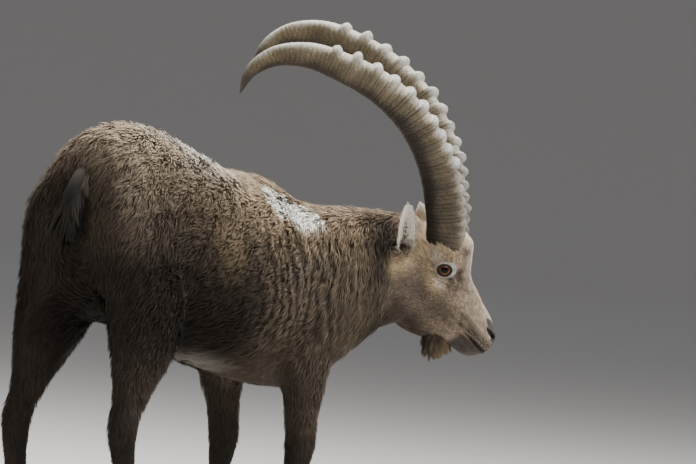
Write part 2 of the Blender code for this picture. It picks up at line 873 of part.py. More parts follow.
def ear_line(share, tip):
    """A point of the ear's middle line and its direction, in mm in the head's frame."""
    root, bend, tip = (np.array(p) for p in (EAR_ROOT, EAR_BEND, tip))
    spot = root * (1 - share) ** 2 + bend * 2 * share * (1 - share) + tip * share**2
    way = (bend - root) * (1 - share) + (tip - bend) * share
    return spot, way / np.linalg.norm(way)


def ear(side_name, home):
    """A rolled leaf with a wall: an outer and an inner sheet joined along the rim."""
    side = SIDES[side_name]
    rows, columns = EAR_ROWS, EAR_COLUMNS
    sheets = []
    for wall in (0.0, EAR_WALL):
        sheet = []
        for i in range(rows):
            v = 1 - (1 - i / (rows - 1)) ** EAR_TIP_ROWS
            spot, way = ear_line(v, EAR_TIPS[side_name])
            opened = EAR_OPEN[side_name]
            out = np.array(opened) - way * np.dot(opened, way)
            out /= np.linalg.norm(out)
            across = np.cross(out, way)
            broad = EAR_ROOT_WIDTH + (1 - EAR_ROOT_WIDTH) * math.sin(math.pi * (0.03 + 0.70 * v))
            half = EAR_HALF_WIDTH * broad * (1 - v**9) ** 0.5 + EAR_LEAST_HALF
            unrolled = eased((v - EAR_ROLLED) / (EAR_UNROLLED - EAR_ROLLED))
            curl = math.radians(EAR_CURL_ROLLED + (EAR_CURL_OPEN - EAR_CURL_ROLLED) * unrolled)
            radius = half / math.sin(min(curl, math.pi / 2))
            for j in range(columns):
                turn = 2 * j / (columns - 1) - 1
                spread = max(radius - wall * (1 - 0.75 * abs(turn) ** 5), 0.0008)
                a = curl * turn
                point = spot * MM + across * spread * math.sin(a) - out * spread * math.cos(a)
                point = point + out * (radius * math.cos(curl * 0.55))
                if wall:
                    point = point + way * (0.004 * (1 - v) - 0.002 * v)
                sheet.append(from_head(np.array(mirrored(point, side)) / MM))
        sheets.append(sheet)
    points = sheets[0] + sheets[1]
    per = rows * columns
    faces = []
    for i in range(rows - 1):
        for j in range(columns - 1):
            a, b = i * columns + j, i * columns + j + 1
            c, d = a + columns, b + columns
            faces.append((a, b, d, c))
            faces.append((per + a, per + c, per + d, per + b))
    border = (
        [(i * columns, (i + 1) * columns) for i in range(rows - 1)]
        + [((rows - 1) * columns + j, (rows - 1) * columns + j + 1) for j in range(columns - 1)]
        + [((i + 1) * columns - 1, i * columns - 1) for i in range(rows - 1, 0, -1)]
        + [(j + 1, j) for j in range(columns - 2, -1, -1)]
    )
    for a, b in border:
        faces.append((a, b, per + b, per + a))
    made = object_from(points, faces, "ear_" + side_name, home)
    edited(made.data, lambda bm: bmesh.ops.triangulate(bm, faces=bm.faces))
    face_outward(made.data)
    return made


# Tail: along, height, half width, half depth of its core
TAIL = [
    (-0.540, 0.850, 0.018, 0.014),
    (-0.568, 0.836, 0.022, 0.016),
    (-0.590, 0.808, 0.023, 0.016),
    (-0.602, 0.770, 0.020, 0.014),
    (-0.605, 0.735, 0.014, 0.010),
    (-0.605, 0.712, 0.004, 0.004),
]
# Height and number of locks of each tier, how far to the side the outer locks grow, and a lock's sizes
TAIL_TIERS = ((0.812, 3), (0.782, 4), (0.752, 4), (0.728, 3))
TAIL_SPREAD = 0.010
TAIL_LOCK = (0.084, 0.024, 0.006)


def tail_core(home):
    rows = [(i, *row) for i, row in enumerate(TAIL)]
    rings = []
    table = refined(rows, 2)
    for i, (_, along, height, half_width, half_depth) in enumerate(table):
        before, after = table[max(i - 1, 0)], table[min(i + 1, len(table) - 1)]
        run = trunk_place(after[1], 0, after[2]) - trunk_place(before[1], 0, before[2])
        run /= np.linalg.norm(run)
        centre = trunk_place(along, 0.0, height)
        side = trunk_place(along, 1.0, height) - centre
        up = np.cross(run, side)
        rings.append(oval(centre, side, up, half_width, half_depth, half_depth, count=10))
    return loft(rings, "tail", home)


def tail(home):
    """The core with tiers of locks that lie down over one another past its end."""
    core = tail_core(home)
    heights = [row[1] for row in TAIL]
    places = [row[0] for row in TAIL]
    side = Vector(trunk_place(-0.6, 1.0, 0.0) - trunk_place(-0.6, 0.0, 0.0))
    rear = Vector((side.y, -side.x, 0.0)) * -1
    hung = []
    for height, count in TAIL_TIERS:
        along = float(np.interp(-height, [-h for h in heights], places))
        for j in range(count):
            aside = 2 * (j + 0.5) / count - 1
            root = Vector(trunk_place(along, 0.0, height)) + side * (TAIL_SPREAD * aside)
            out = Vector((0, 0, -1)) + side * (0.45 * aside) + rear * 0.30
            lie = Vector((0, 0, -1)) + side * (0.10 * aside) - rear * 0.12
            length, width, thickness = TAIL_LOCK
            length *= random.uniform(0.89, 1.05)
            across = side + rear * (-0.8 * aside)
            hung.append(lock(root, out, lie, across, length, width, thickness, home))
    combine(core, hung, "UNION")
    tidy(core)
    return core


# Beard: a short core under the jaw, in the head's frame in mm, and the locks that hang from it
BEARD = [
    (104.0, -92.0, 21.0, 31.0),
    (107.0, -112.0, 19.0, 29.0),
    (110.0, -124.0, 12.0, 20.0),
    (112.0, -130.0, 3.0, 5.0),
]
# Rows of locks from back to front and locks across, and the middle and half spread of their roots in mm
BEARD_ROWS, BEARD_LOCKS = 6, 4
BEARD_ROOT, BEARD_SPREAD = (104.0, 0.0, -102.0), (24.4, 12.0, 5.0)
BEARD_REACH = 0.056
BEARD_LOCK = (0.0155, 0.0048)


def beard_core(home):
    rings = []
    for along, height, half_width, half_depth in BEARD:
        rings.append(
            oval(
                from_head((along, 0, height)),
                HEAD_AXES[:, 1],
                HEAD_AXES[:, 0],
                half_width * MM,
                half_depth * MM,
                half_depth * MM,
                count=12,
            )
        )
    return loft(rings, "beard", home)


def beard(home):
    """The core with its locks, longest in the middle, fanned out and hanging."""
    core = beard_core(home)
    hung = []
    for i in range(BEARD_ROWS):
        for j in range(BEARD_LOCKS):
            ahead = 2 * i / (BEARD_ROWS - 1) - 1
            aside = 2 * j / (BEARD_LOCKS - 1) - 1
            root = from_head(np.array(BEARD_ROOT) + np.array(BEARD_SPREAD) * (ahead, aside, ahead))
            out = Vector((0, 0, -1)) + Vector(HEAD_AXES[:, 1]) * (0.40 * aside)
            out += Vector(HEAD_AXES[:, 0]) * (0.55 * ahead)
            lie = Vector((0, 0, -1)) + Vector(HEAD_AXES[:, 0]) * (0.30 - 0.25 * ahead)
            lie += Vector(HEAD_AXES[:, 1]) * random.uniform(-0.15, 0.15)
            length = BEARD_REACH * (1.0 - 0.22 * abs(ahead) - 0.12 * abs(aside)) * random.uniform(0.9, 1.08)
            width, thickness = BEARD_LOCK
            across = Vector(HEAD_AXES[:, 0]) + Vector(HEAD_AXES[:, 1]) * random.uniform(-0.5, 0.5)
            hung.append(lock(root, out, lie, across, length, width, thickness, home))
    combine(core, hung, "UNION")
    tidy(core)
    return core


# Feet
CLAW = [
    (0.0, 0.010, 0.033, 0.0125),
    (0.010, 0.010, 0.034, 0.0130),
    (0.028, 0.002, 0.030, 0.0125),
    (CLAW_TOP - GAP, -0.004, 0.024, 0.0115),
]
CLAW_SIDE = 0.0145


def foot_place(leg):
    end, side_name = leg.split("_")
    row = FORELEG[1] if end == "fore" else HINDLEG[1]
    along = row[1] + stride_at(leg, row[0])
    side = SIDES[side_name] * LEG_SIDE
    return trunk_place(along, side, 0.0), heading(along)


def claw(leg, which, home):
    place, turn = foot_place(leg)
    ahead = np.array((math.cos(turn), math.sin(turn), 0.0))
    left = np.array((-ahead[1], ahead[0], 0.0))
    side = 1 if which == "left" else -1
    rings = []
    angle = np.linspace(0, 2 * math.pi, 12, endpoint=False)
    for height, shift, half_length, half_width in CLAW:
        x = half_length * np.cos(angle) + shift
        y = half_width * np.sin(angle) * (1 - 0.28 * np.cos(angle))
        y = y - side * 0.10 * half_width * np.cos(angle) + side * CLAW_SIDE
        ring = place + np.outer(x, ahead) + np.outer(y, left) + (0, 0, height)
        rings.append(ring)
    made = loft(rings, "claw_%s_%s" % (leg, which), home)
    edited(made.data, lambda bm: bmesh.ops.triangulate(bm, faces=bm.faces))
    return made


# Dewclaws: behind, beside and above the foot's middle, the way they point back and down, and their shape
DEWCLAW_PLACE = (0.034, 0.015, 0.086)
DEWCLAW_BACK, DEWCLAW_DOWN = -0.75, -0.66
DEWCLAW_LENGTH = 0.026
DEWCLAW_ROWS = ((0.0, 0.0085), (0.6, 0.0085), (1.0, 0.0025))


def dewclaw(leg, which, home):
    place, turn = foot_place(leg)
    ahead = np.array((math.cos(turn), math.sin(turn), 0.0))
    left = np.array((-ahead[1], ahead[0], 0.0))
    side = 1 if which == "left" else -1
    behind_foot, beside_foot, above_floor = DEWCLAW_PLACE
    root = place - ahead * behind_foot + left * side * beside_foot + (0, 0, above_floor)
    point = ahead * DEWCLAW_BACK + (0, 0, DEWCLAW_DOWN)
    up = np.cross(point, left)
    rings = []
    for share, radius in DEWCLAW_ROWS:
        rings.append(oval(root + point * DEWCLAW_LENGTH * share, left, up, radius, radius, radius, count=6))
    made = loft(rings, "dewclaw_%s_%s" % (leg, which), home)
    edited(made.data, lambda bm: bmesh.ops.triangulate(bm, faces=bm.faces))
    return made


# Where the whole is parted
RUMP_CUT = -0.325
CHEST_CUT = -0.090
FORE_CUT, CARPUS_CUT = 0.362, 0.235
HIND_CUT, HOCK_CUT = 0.440, 0.262
NECK_CUT_POINT = (0.150, -0.105, 0.600)
NECK_CUT_WAY = (0.785, -0.366, 0.500)
HEAD_CUT_POINT = from_head((-57, 0, -84))
HEAD_CUT_WAY = (0.650, -0.755, -0.080)
# Size of the steps of the fused surface, rounds of smoothing and triangles kept
BODY_VOXEL, BODY_ROUNDS, BODY_TRIANGLES = 0.010, 10, 3730
HEAD_VOXEL, HEAD_ROUNDS, HEAD_TRIANGLES = 0.0042, 14, 2080


def body_cuts():
    """The planes between rump, barrel, chest, neck and head: a point and the way ahead."""
    cuts = {}
    for name, along in (("rump", RUMP_CUT), ("chest", CHEST_CUT)):
        turn = heading(along)
        cuts[name] = (trunk_place(along, 0, 0), (math.cos(turn), math.sin(turn), 0.0))
    cuts["neck"] = (NECK_CUT_POINT, NECK_CUT_WAY)
    cuts["head"] = (HEAD_CUT_POINT, HEAD_CUT_WAY)
    return cuts


def behind(cut):
    """The plane that keeps what lies behind a cut."""
    point, way = cut
    return point, tuple(-c for c in way)


def body_nodes(body, home, cuts):
    """Parts the body into rump, barrel, chest, neck and the upper and lower lengths of each leg."""
    up, down = (0, 0, 1), (0, 0, -1)
    made = {}
    rear = behind(cuts["rump"])
    front = [cuts["chest"], behind(cuts["neck"])]
    made["rump"] = part_of(body, "rump", [rear, ((0, 0, HIND_CUT), up)], home)
    made["barrel"] = part_of(body, "barrel", [cuts["rump"], behind(cuts["chest"])], home)
    made["chest"] = part_of(body, "chest", front + [((0, 0, FORE_CUT), up)], home)
    made["neck"] = part_of(body, "neck", [cuts["neck"], behind(cuts["head"])], home)
    for leg in STRIDE:
        end, side_name = leg.split("_")
        planes = [rear] if end == "hind" else front
        top, middle = (HIND_CUT, HOCK_CUT) if end == "hind" else (FORE_CUT, CARPUS_CUT)
        upper_name = ("gaskin_" if end == "hind" else "forearm_") + side_name
        lower_name = ("hind_shank_" if end == "hind" else "fore_shank_") + side_name
        lengths = ((upper_name, top, middle), (lower_name, middle, CLAW_TOP))
        near = foot_place(leg)[0]
        for name, high, low in lengths:
            node = part_of(body, name, planes + [((0, 0, high), down), ((0, 0, low), up)], home)
            keep_near(node.data, near + (0, 0, (high + low) / 2))
            made[name] = node
    return made


def main():
    clear_scene()
    home = collection("alpine_ibex")
    cutters = collection("cutters")

    shapes = [trunk_piece(cutters), neck_piece(cutters), head_piece(cutters)]
    shapes += [leg_piece(leg, cutters) for leg in STRIDE]
    body = joined(shapes, "body", cutters)
    fuse_smooth(body, BODY_VOXEL, BODY_ROUNDS)
    thin_out(body, BODY_TRIANGLES)

    skull = joined([shapes[1], shapes[2]], "skull", cutters)
    fuse_smooth(skull, HEAD_VOXEL, HEAD_ROUNDS)
    shape_face(skull.data)
    head = part_of(skull, "head", [(HEAD_CUT_POINT, HEAD_CUT_WAY)], home)
    thin_out(head, HEAD_TRIANGLES)
    tidy(head)
    open_eyes(head, cutters)
    for cutter in [mouth_cutter(cutters)] + nostril_cutters(cutters):
        combine(head, [cutter], "DIFFERENCE")
    tidy(head)

    cuts = body_cuts()
    nodes = body_nodes(body, home, cuts)
    nodes["head"] = head
    looks = {name: "coat" for name in nodes}
    looks["head"] = "face"
    for name in list(nodes):
        if "shank" in name:
            looks[name] = "dark_coat"

    for side_name in SIDES:
        for kind, maker, look in (("horn", horn, "horn"), ("ear", ear, "ear"), ("eye", eye, "eye")):
            made = maker(side_name, home)
            if kind != "eye":
                seat(made, head, cutters)
            if kind == "ear":
                seat(made, nodes["neck"], cutters)
            nodes[made.name] = made
            looks[made.name] = look
    nodes["tail"] = seat(tail(home), nodes["rump"], cutters)
    looks["tail"] = "dark_coat"
    nodes["beard"] = seat(beard(home), head, cutters)
    looks["beard"] = "dark_coat"

    for leg in STRIDE:
        end, side_name = leg.split("_")
        shank = nodes[("hind_shank_" if end == "hind" else "fore_shank_") + side_name]
        for which in SIDES:
            hoof = claw(leg, which, home)
            nodes[hoof.name] = hoof
            looks[hoof.name] = "hoof"
            spur = seat(dewclaw(leg, which, home), shank, cutters)
            nodes[spur.name] = spur
            looks[spur.name] = "hoof"

    for thing in list(cutters.objects):
        bpy.data.objects.remove(thing, do_unlink=True)
    spots = np.array([v.co for node in nodes.values() for v in node.data.vertices])
    low, high = spots.min(axis=0), spots.max(axis=0)
    shift = Matrix.Translation((-(low[0] + high[0]) / 2, -(low[1] + high[1]) / 2, -low[2]))
    for name, node in nodes.items():
        tidy(node)
        node.data.transform(shift)
        finish_node(node, looks[name])
    print("shift", tuple(round(c, 5) for c in shift.translation), "size", np.round(high - low, 4))
    print({name: len(node.data.polygons) for name, node in nodes.items()})
    print("triangles", sum(len(node.data.polygons) for node in nodes.values()))


main()
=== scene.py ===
"""Looks of the alpine ibex: skin, coat, horns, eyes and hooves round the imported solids, with floor and light.

The flesh solids are fused into one skin that lies inside them by the depth of the coat. The coat is made of
thin tapered tufts rooted on that skin, laid along the lie of the hair and gathered into clumps. Skin and coat
take their colours from one function of the place on the animal. Lengths are in metres, but in millimetres in
the head's frame and where a comment says so.
"""

import math
import random

import bmesh
import bpy
import numpy as np
from mathutils import Matrix, Vector
from mathutils.bvhtree import BVHTree
from mathutils.kdtree import KDTree


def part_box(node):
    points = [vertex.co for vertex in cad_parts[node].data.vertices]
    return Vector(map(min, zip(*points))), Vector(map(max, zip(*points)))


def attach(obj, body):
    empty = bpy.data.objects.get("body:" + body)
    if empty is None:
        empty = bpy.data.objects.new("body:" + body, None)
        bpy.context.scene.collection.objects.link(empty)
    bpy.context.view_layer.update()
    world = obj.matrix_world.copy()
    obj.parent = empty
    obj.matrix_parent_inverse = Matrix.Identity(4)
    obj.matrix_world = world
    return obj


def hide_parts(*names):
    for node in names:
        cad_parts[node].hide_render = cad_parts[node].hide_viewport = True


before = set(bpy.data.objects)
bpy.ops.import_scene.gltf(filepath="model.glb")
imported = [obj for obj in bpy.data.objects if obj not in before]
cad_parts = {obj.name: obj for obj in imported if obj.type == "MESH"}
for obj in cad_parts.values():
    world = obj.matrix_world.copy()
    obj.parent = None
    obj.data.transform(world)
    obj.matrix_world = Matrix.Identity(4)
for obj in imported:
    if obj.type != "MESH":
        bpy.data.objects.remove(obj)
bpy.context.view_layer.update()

MM = 0.001
SEED = 11

# Places on the body are written in the frame of the solids before they were centred on the floor.
HEAD_YAW, HEAD_ROLL, HEAD_PITCH = -57.5, 6.4, 48.0
HEAD_PLACE = np.array((0.342, -0.271, 0.668))
NECK_CUT_POINT, NECK_CUT_WAY = np.array((0.150, -0.105, 0.600)), np.array((0.785, -0.366, 0.500))
HEAD_CUT_POINT_MM, HEAD_CUT_WAY = (-57, 0, -84), np.array((0.650, -0.755, -0.080))
DOWN = np.array((0.0, 0.0, -1.0))
SIDES = (("right", -1), ("left", 1))
LIMBS = ("forearm_", "fore_shank_", "gaskin_", "hind_shank_")
FLESH = ["rump", "barrel", "chest", "neck", "head", "ear_right", "ear_left"]
FLESH += [limb + side_name for limb in LIMBS for side_name, _ in SIDES]
EAR_LABELS = (FLESH.index("ear_right"), FLESH.index("ear_left"))

HEAD_AXES = np.array(
    Matrix.Rotation(math.radians(HEAD_YAW), 3, "Z")
    @ Matrix.Rotation(math.radians(HEAD_ROLL), 3, "X")
    @ Matrix.Rotation(math.radians(HEAD_PITCH), 3, "Y")
)


def middle_of(node):
    low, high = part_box(node)
    return (np.array(low) + np.array(high)) / 2


# The head's frame lies midway between the eyes, which also tells how far the solids were moved.
SHIFT = (middle_of("eye_right") + middle_of("eye_left")) / 2 - HEAD_PLACE


def from_head(point_mm):
    """A world point from millimetres in the head's frame: along the face, to the left, up from the face."""
    return HEAD_PLACE + SHIFT + np.asarray(point_mm, float) @ HEAD_AXES.T * MM


def in_head(points):
    return (np.asarray(points) - HEAD_PLACE - SHIFT) @ HEAD_AXES / MM


def smooth(value, low, high):
    """0 below low, 1 above high and a smooth step between."""
    share = np.clip((value - low) / (high - low), 0.0, 1.0)
    return share * share * (3 - 2 * share)


def unit(rows):
    return rows / np.maximum(np.linalg.norm(rows, axis=-1, keepdims=True), 1e-9)


def blend(first, second, share):
    """The first where share is 0 and the second where it is 1."""
    return first * (1 - share) + second * share


def folded(local):
    """Points in the head's frame with its right side laid on its left."""
    return np.stack([local[:, 0], np.abs(local[:, 1]), local[:, 2]], axis=1)


# Smooth noise from a few seeded waves, the same each run
def waves(points, size, seed, count=14):
    """A soft random field of about -1 to 1 over points, with features of about a size."""
    rng = np.random.default_rng(seed)
    total = np.zeros(len(points))
    for _ in range(count):
        way = rng.normal(size=3)
        way /= np.linalg.norm(way)
        pitch = size * rng.uniform(0.7, 1.6)
        total += np.sin(points @ way * (2 * math.pi / pitch) + rng.uniform(0, 2 * math.pi))
    return total / math.sqrt(count)


def mesh_arrays(mesh):
    """Vertices and triangles of a mesh as arrays."""
    spots = np.empty(len(mesh.vertices) * 3)
    mesh.vertices.foreach_get("co", spots)
    mesh.calc_loop_triangles()
    triangles = np.empty(len(mesh.loop_triangles) * 3, np.int32)
    mesh.loop_triangles.foreach_get("vertices", triangles)
    return spots.reshape(-1, 3), triangles.reshape(-1, 3)


def new_object(name, mesh):
    made = bpy.data.objects.new(name, mesh)
    bpy.context.scene.collection.objects.link(made)
    return made


def apply_modifiers(thing):
    graph = bpy.context.evaluated_depsgraph_get()
    mesh = bpy.data.meshes.new_from_object(thing.evaluated_get(graph))
    thing.modifiers.clear()
    thing.data = mesh


def remesh(thing, voxel):
    """Makes one closed surface of an object's own, in voxels of a size."""
    fuse = thing.modifiers.new("fuse", "REMESH")
    fuse.mode = "VOXEL"
    fuse.voxel_size = voxel
    apply_modifiers(thing)


# Skin
SKIN_VOXEL = 0.0024
SKIN_TRIANGLES = 170000
# Rounds of averaging over the fused surface, the coat's depth, the way it is pushed in and what comes out
FUSED_ROUNDS, DEPTH_ROUNDS, PUSH_ROUNDS, LAST_ROUNDS = 14, 14, 10, 3
JOIN = 0.0008


def fused_flesh():
    """One closed surface through all flesh solids."""
    bm = bmesh.new()
    for name in FLESH:
        bm.from_mesh(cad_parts[name].data)
    bmesh.ops.remove_doubles(bm, verts=bm.verts, dist=1e-5)
    bm.normal_update()
    for vert in bm.verts:
        vert.co += vert.normal * JOIN
    mesh = bpy.data.meshes.new("skin")
    bm.to_mesh(mesh)
    bm.free()
    skin = new_object("skin", mesh)
    remesh(skin, SKIN_VOXEL)
    return skin


def edges_of(triangles):
    """Each edge once, as pairs of vertex numbers."""
    pairs = np.concatenate([triangles[:, (0, 1)], triangles[:, (1, 2)], triangles[:, (2, 0)]])
    pairs.sort(axis=1)
    return np.unique(pairs, axis=0)


def relaxed(values, edges, rounds, hold=None):
    """Values averaged with their neighbours' over a number of rounds; hold is 1 where they stay."""
    values = np.array(values, float)
    flat = values.ndim == 1
    if flat:
        values = values[:, None]
    a, b = edges[:, 0], edges[:, 1]
    count = len(values)
    links = np.maximum(np.bincount(a, minlength=count) + np.bincount(b, minlength=count), 1)[:, None]
    loose = 1.0 if hold is None else (1 - hold)[:, None]
    for _ in range(rounds):
        total = np.empty_like(values)
        for k in range(values.shape[1]):
            column = values[:, k]
            total[:, k] = np.bincount(a, column[b], count) + np.bincount(b, column[a], count)
        values = values + (total / links - values) * 0.6 * loose
    return values[:, 0] if flat else values


# The spine in plan, read at even steps: distance forward of the withers, place and heading
SPINE_ALONG = np.linspace(-0.75, 0.45, 241)
SPINE_TURN = np.radians(-4.0 - 16.0 * np.minimum(SPINE_ALONG, 0.0))
SPINE_STEP = SPINE_ALONG[1] - SPINE_ALONG[0]
SPINE_X = np.cumsum(np.cos(SPINE_TURN)) * SPINE_STEP
SPINE_Y = np.cumsum(np.sin(SPINE_TURN)) * SPINE_STEP
SPINE_X -= np.interp(0.0, SPINE_ALONG, SPINE_X)
SPINE_Y -= np.interp(0.0, SPINE_ALONG, SPINE_Y)


def on_trunk(place):
    """Distance forward of the withers, distance to the left and heading, for places before the centring."""
    along = np.interp(place[:, 0], SPINE_X, SPINE_ALONG)
    beside = place[:, 1] - np.interp(along, SPINE_ALONG, SPINE_Y)
    turn = np.interp(along, SPINE_ALONG, SPINE_TURN)
    along = along + beside * np.sin(turn)
    return along, beside * np.cos(turn), turn


def shares(points):
    """How far each point belongs to the head, neck, legs and shanks, 0 to 1."""
    place = points - SHIFT
    head_point = HEAD_PLACE + np.asarray(HEAD_CUT_POINT_MM, float) @ HEAD_AXES.T * MM
    head_ahead = (place - head_point) @ unit(HEAD_CUT_WAY)
    neck_ahead = (place - NECK_CUT_POINT) @ unit(NECK_CUT_WAY)
    head = smooth(head_ahead, -0.030, 0.012)
    neck = smooth(neck_ahead, -0.090, 0.060) * (1 - head)
    leg = (1 - smooth(place[:, 2], 0.370, 0.500)) * (1 - smooth(neck_ahead, -0.02, 0.06))
    shank = 1 - smooth(place[:, 2], 0.230, 0.330)
    return place, head, neck, leg, shank


def near(local, centre, reach):
    """A soft spot in the head's frame, in mm; one off the middle is on both sides."""
    x, y, z = (folded(local) if centre[1] else local).T
    away = np.stack([x - centre[0], y - centre[1], z - centre[2]], axis=1) / np.asarray(reach, float)
    return np.exp(-(away**2).sum(axis=1))


# Colours of the coat, linear
GREY_BROWN = np.array((0.210, 0.165, 0.120))
WARM_BROWN = np.array((0.205, 0.145, 0.092))
DARK_BROWN = np.array((0.055, 0.040, 0.029))
BLACK_BROWN = np.array((0.018, 0.014, 0.011))
TAN = np.array((0.500, 0.395, 0.270))
GOLD = np.array((0.520, 0.385, 0.225))
CREAM = np.array((0.900, 0.840, 0.720))
SUNLIT_CREAM = np.array((1.300, 1.190, 0.970))
PALE_GREY = np.array((0.370, 0.315, 0.255))
FACE_BROWN = np.array((0.360, 0.275, 0.205))
CHEEK_BROWN = np.array((0.140, 0.106, 0.080))
LIP_BROWN = np.array((0.060, 0.048, 0.036))
PAD_GREY = np.array((0.055, 0.048, 0.048))
LID_GREY = np.array((0.560, 0.530, 0.480))
HOLLOW_SHADE_BLACK = np.array((0.006, 0.005, 0.006))
MOUTH_SHADE = np.array((0.012, 0.008, 0.008))

# The trunk's colours by drop below the top line, and the neck's by height, in metres; paler along the top line
# as painted light and darker lower down as painted shade, over the coat's own darker flanks
TRUNK_DROPS = (0.0, 0.035, 0.085, 0.160, 0.230, 0.300, 0.420)
TRUNK_TONES_LIGHT_AND_SHADE = np.array(
    [
        (0.680, 0.560, 0.430), (0.430, 0.325, 0.225), (0.280, 0.208, 0.140), (0.110, 0.080, 0.054),
        (0.055, 0.041, 0.028), (0.022, 0.016, 0.011), (0.020, 0.014, 0.010),
    ]
)
NECK_HEIGHTS = (0.45, 0.55, 0.65, 0.72, 0.78)
NECK_TONES_AND_SHADE = np.array(
    [
        (0.095, 0.073, 0.051), (0.112, 0.086, 0.059), (0.130, 0.100, 0.068), (0.240, 0.172, 0.105),
        (0.370, 0.270, 0.180),
    ]
)


def ramp(value, keys, colours):
    """Colours read between rising keys."""
    return np.stack([np.interp(value, keys, colours[:, k]) for k in range(3)], axis=1)


def mixed(colour, other, share):
    return colour + (other - colour) * share[:, None]


def plain(colour, count):
    """One colour for a number of points."""
    return np.repeat(colour[None], count, axis=0)


def painted(colour, coats):
    """A colour under coats of paint: each a tone and how much of it covers each point."""
    for tone, share in coats:
        colour = mixed(colour, tone, share)
    return colour


def patch_at(place, centre, reach):
    """A soft patch on both sides of the trunk, by distance forward, to the side and up."""
    along, aside, _ = on_trunk(place)
    away = np.stack([along - centre[0], np.abs(aside) - centre[1], place[:, 2] - centre[2]], axis=1)
    return np.exp(-((away / np.asarray(reach)) ** 2).sum(axis=1))


def body_marks(place, neck, leg, shank):
    """Colours of trunk, neck and legs, with painted light along the back and painted shade lower down and in
    the cleft between the haunches.
    """
    along, aside, _ = on_trunk(place)
    height, off_middle = place[:, 2], np.abs(aside)
    broad, fine = waves(place, 0.080, 5), waves(place, 0.026, 6)
    top_line = 0.835 + 0.080 * smooth(-along, 0.08, 0.42)
    front = np.maximum(neck, smooth(along, -0.20, -0.04))
    rear = smooth(-along, 0.46, 0.56) * smooth(height, 0.60, 0.74) * (1 - smooth(height, 0.84, 0.89))
    # Painted shade in the cleft between the haunches under the tail.
    cleft = smooth(-along, 0.53, 0.58) * (1 - smooth(height, 0.78, 0.85))
    cleft = cleft * (1 - smooth(off_middle, 0.020, 0.045))
    cream = np.maximum(
        patch_at(place, (-0.030, 0.12, 0.765), (0.044, 0.070, 0.026)),
        patch_at(place, (0.030, 0.14, 0.742), (0.046, 0.070, 0.026)),
    )
    throat = smooth(place[:, 0], 0.13, 0.22) * (1 - smooth(height - 0.54, -0.03, 0.06))
    belly = (1 - smooth(height, 0.40, 0.47)) * (1 - smooth(off_middle, 0.05, 0.11)) * (1 - shank)
    # The ramps paint light along the back and shade down the flanks and neck, over the coat's own darker lower
    # parts.
    colour = painted(
        ramp(top_line - height + 0.012 * broad, TRUNK_DROPS, TRUNK_TONES_LIGHT_AND_SHADE),
        [
            (WARM_BROWN, 0.30 * smooth(broad, -0.2, 1.0) * smooth(height, 0.62, 0.72)),
            (ramp(height + 0.01 * broad, NECK_HEIGHTS, NECK_TONES_AND_SHADE), front),
            (GOLD, 0.40 * patch_at(place, (-0.12, 0.11, 0.76), (0.10, 0.10, 0.05))),
            (GOLD, 0.25 * patch_at(place, (-0.25, 0.16, 0.68), (0.04, 0.08, 0.06))),
            (GREY_BROWN, 0.55 * rear),
            # painted shade in the cleft
            (BLACK_BROWN, 0.90 * cleft),
            # painted light on the top of the back behind the withers
            (CREAM, 0.85 * patch_at(place, (-0.24, 0.02, 0.86), (0.11, 0.11, 0.05))),
            (SUNLIT_CREAM, smooth(cream * (1 + 0.35 * fine), 0.08, 0.50)),
            (BLACK_BROWN, 0.78 * throat),
            (DARK_BROWN, 0.60 * leg),
            (BLACK_BROWN, 0.70 * shank),
            (CREAM, 0.40 * belly * smooth(-along, 0.05, 0.20) * (1 - smooth(-along, 0.40, 0.48))),
        ],
    )
    return colour * (1 + 0.12 * fine + 0.07 * broad)[:, None]


# Patches of the face, painted in turn: colour, strength, centre and reach in mm
FACE_PATCHES = [
    (GOLD, 0.90, (-62, 62, -12), (24, 28, 36)),
    (GOLD, 0.90, (-28, 66, 34), (36, 24, 22)),
    (GOLD, 0.60, (-20, 72, -22), (24, 20, 16)),
    (TAN, 0.60, (-52, 80, -52), (18, 30, 16)),
    (CHEEK_BROWN, 0.85, (14, 69, -68), (38, 30, 18)),
    (CHEEK_BROWN, 0.75, (64, 42, -66), (34, 30, 20)),
    (CHEEK_BROWN, 0.45, (-26, 76, -78), (30, 30, 18)),
    (CHEEK_BROWN, 0.75, (50, 48, -10), (10, 18, 18)),
    (TAN, 0.45, (84, 40, -22), (26, 18, 16)),
    (GOLD * 1.40, 0.95, (12, 66, -34), (24, 24, 15)),
    (CREAM, 0.35, (-30, 72, 8), (16, 18, 12)),
    (CREAM, 0.45, (20, 66, -27), (15, 18, 7)),
    # Painted shadow at the root of the horn, over the gold.
    (DARK_BROWN, 0.50, (-24, 68, 52), (16, 18, 5)),
    (DARK_BROWN, 0.97, (28, 52, 22), (9, 18, 15)),
    (DARK_BROWN, 0.80, (42, 46, 14), (14, 15, 9)),
    (DARK_BROWN, 0.50, (66, 38, 8), (18, 14, 7)),
    (DARK_BROWN, 0.95, (29, 57, -3), (9, 14, 5)),
    (DARK_BROWN, 0.60, (38, 57, -12), (5, 14, 8)),
    (DARK_BROWN, 0.60, (6, 46, 58), (16, 14, 10)),
    # Painted highlight along the top of the nose and the forehead.
    (CREAM, 0.40, (30, 0, 56), (60, 13, 26)),
    (CREAM, 0.40, (-14, 0, 80), (34, 30, 14)),
    (LIP_BROWN, 0.60, (126, 40, -28), (20, 18, 12)),
    (LIP_BROWN, 0.35, (150, 34, -4), (26, 16, 12)),
    (PAD_GREY, 0.85, (120, 42, -46), (10, 12, 5)),
]
# Dark hair behind the ear and down the neck's front edge, and the golden tuft under the ear
NAPE_PATCHES = [
    (BLACK_BROWN, 0.98, (-112, 105, -60), (44, 56, 50)),
    (BLACK_BROWN, 0.92, (-150, 80, -34), (42, 50, 40)),
    (BLACK_BROWN, 0.80, (-82, 130, -94), (24, 34, 34)),
    (BLACK_BROWN, 0.50, (-52, 144, -126), (28, 34, 36)),
    (GOLD * 1.3, 0.90, (-68, 90, -64), (20, 28, 22)),
]


def patched(colour, local, patches):
    return painted(colour, [(tone, strength * near(local, *where)) for tone, strength, *where in patches])


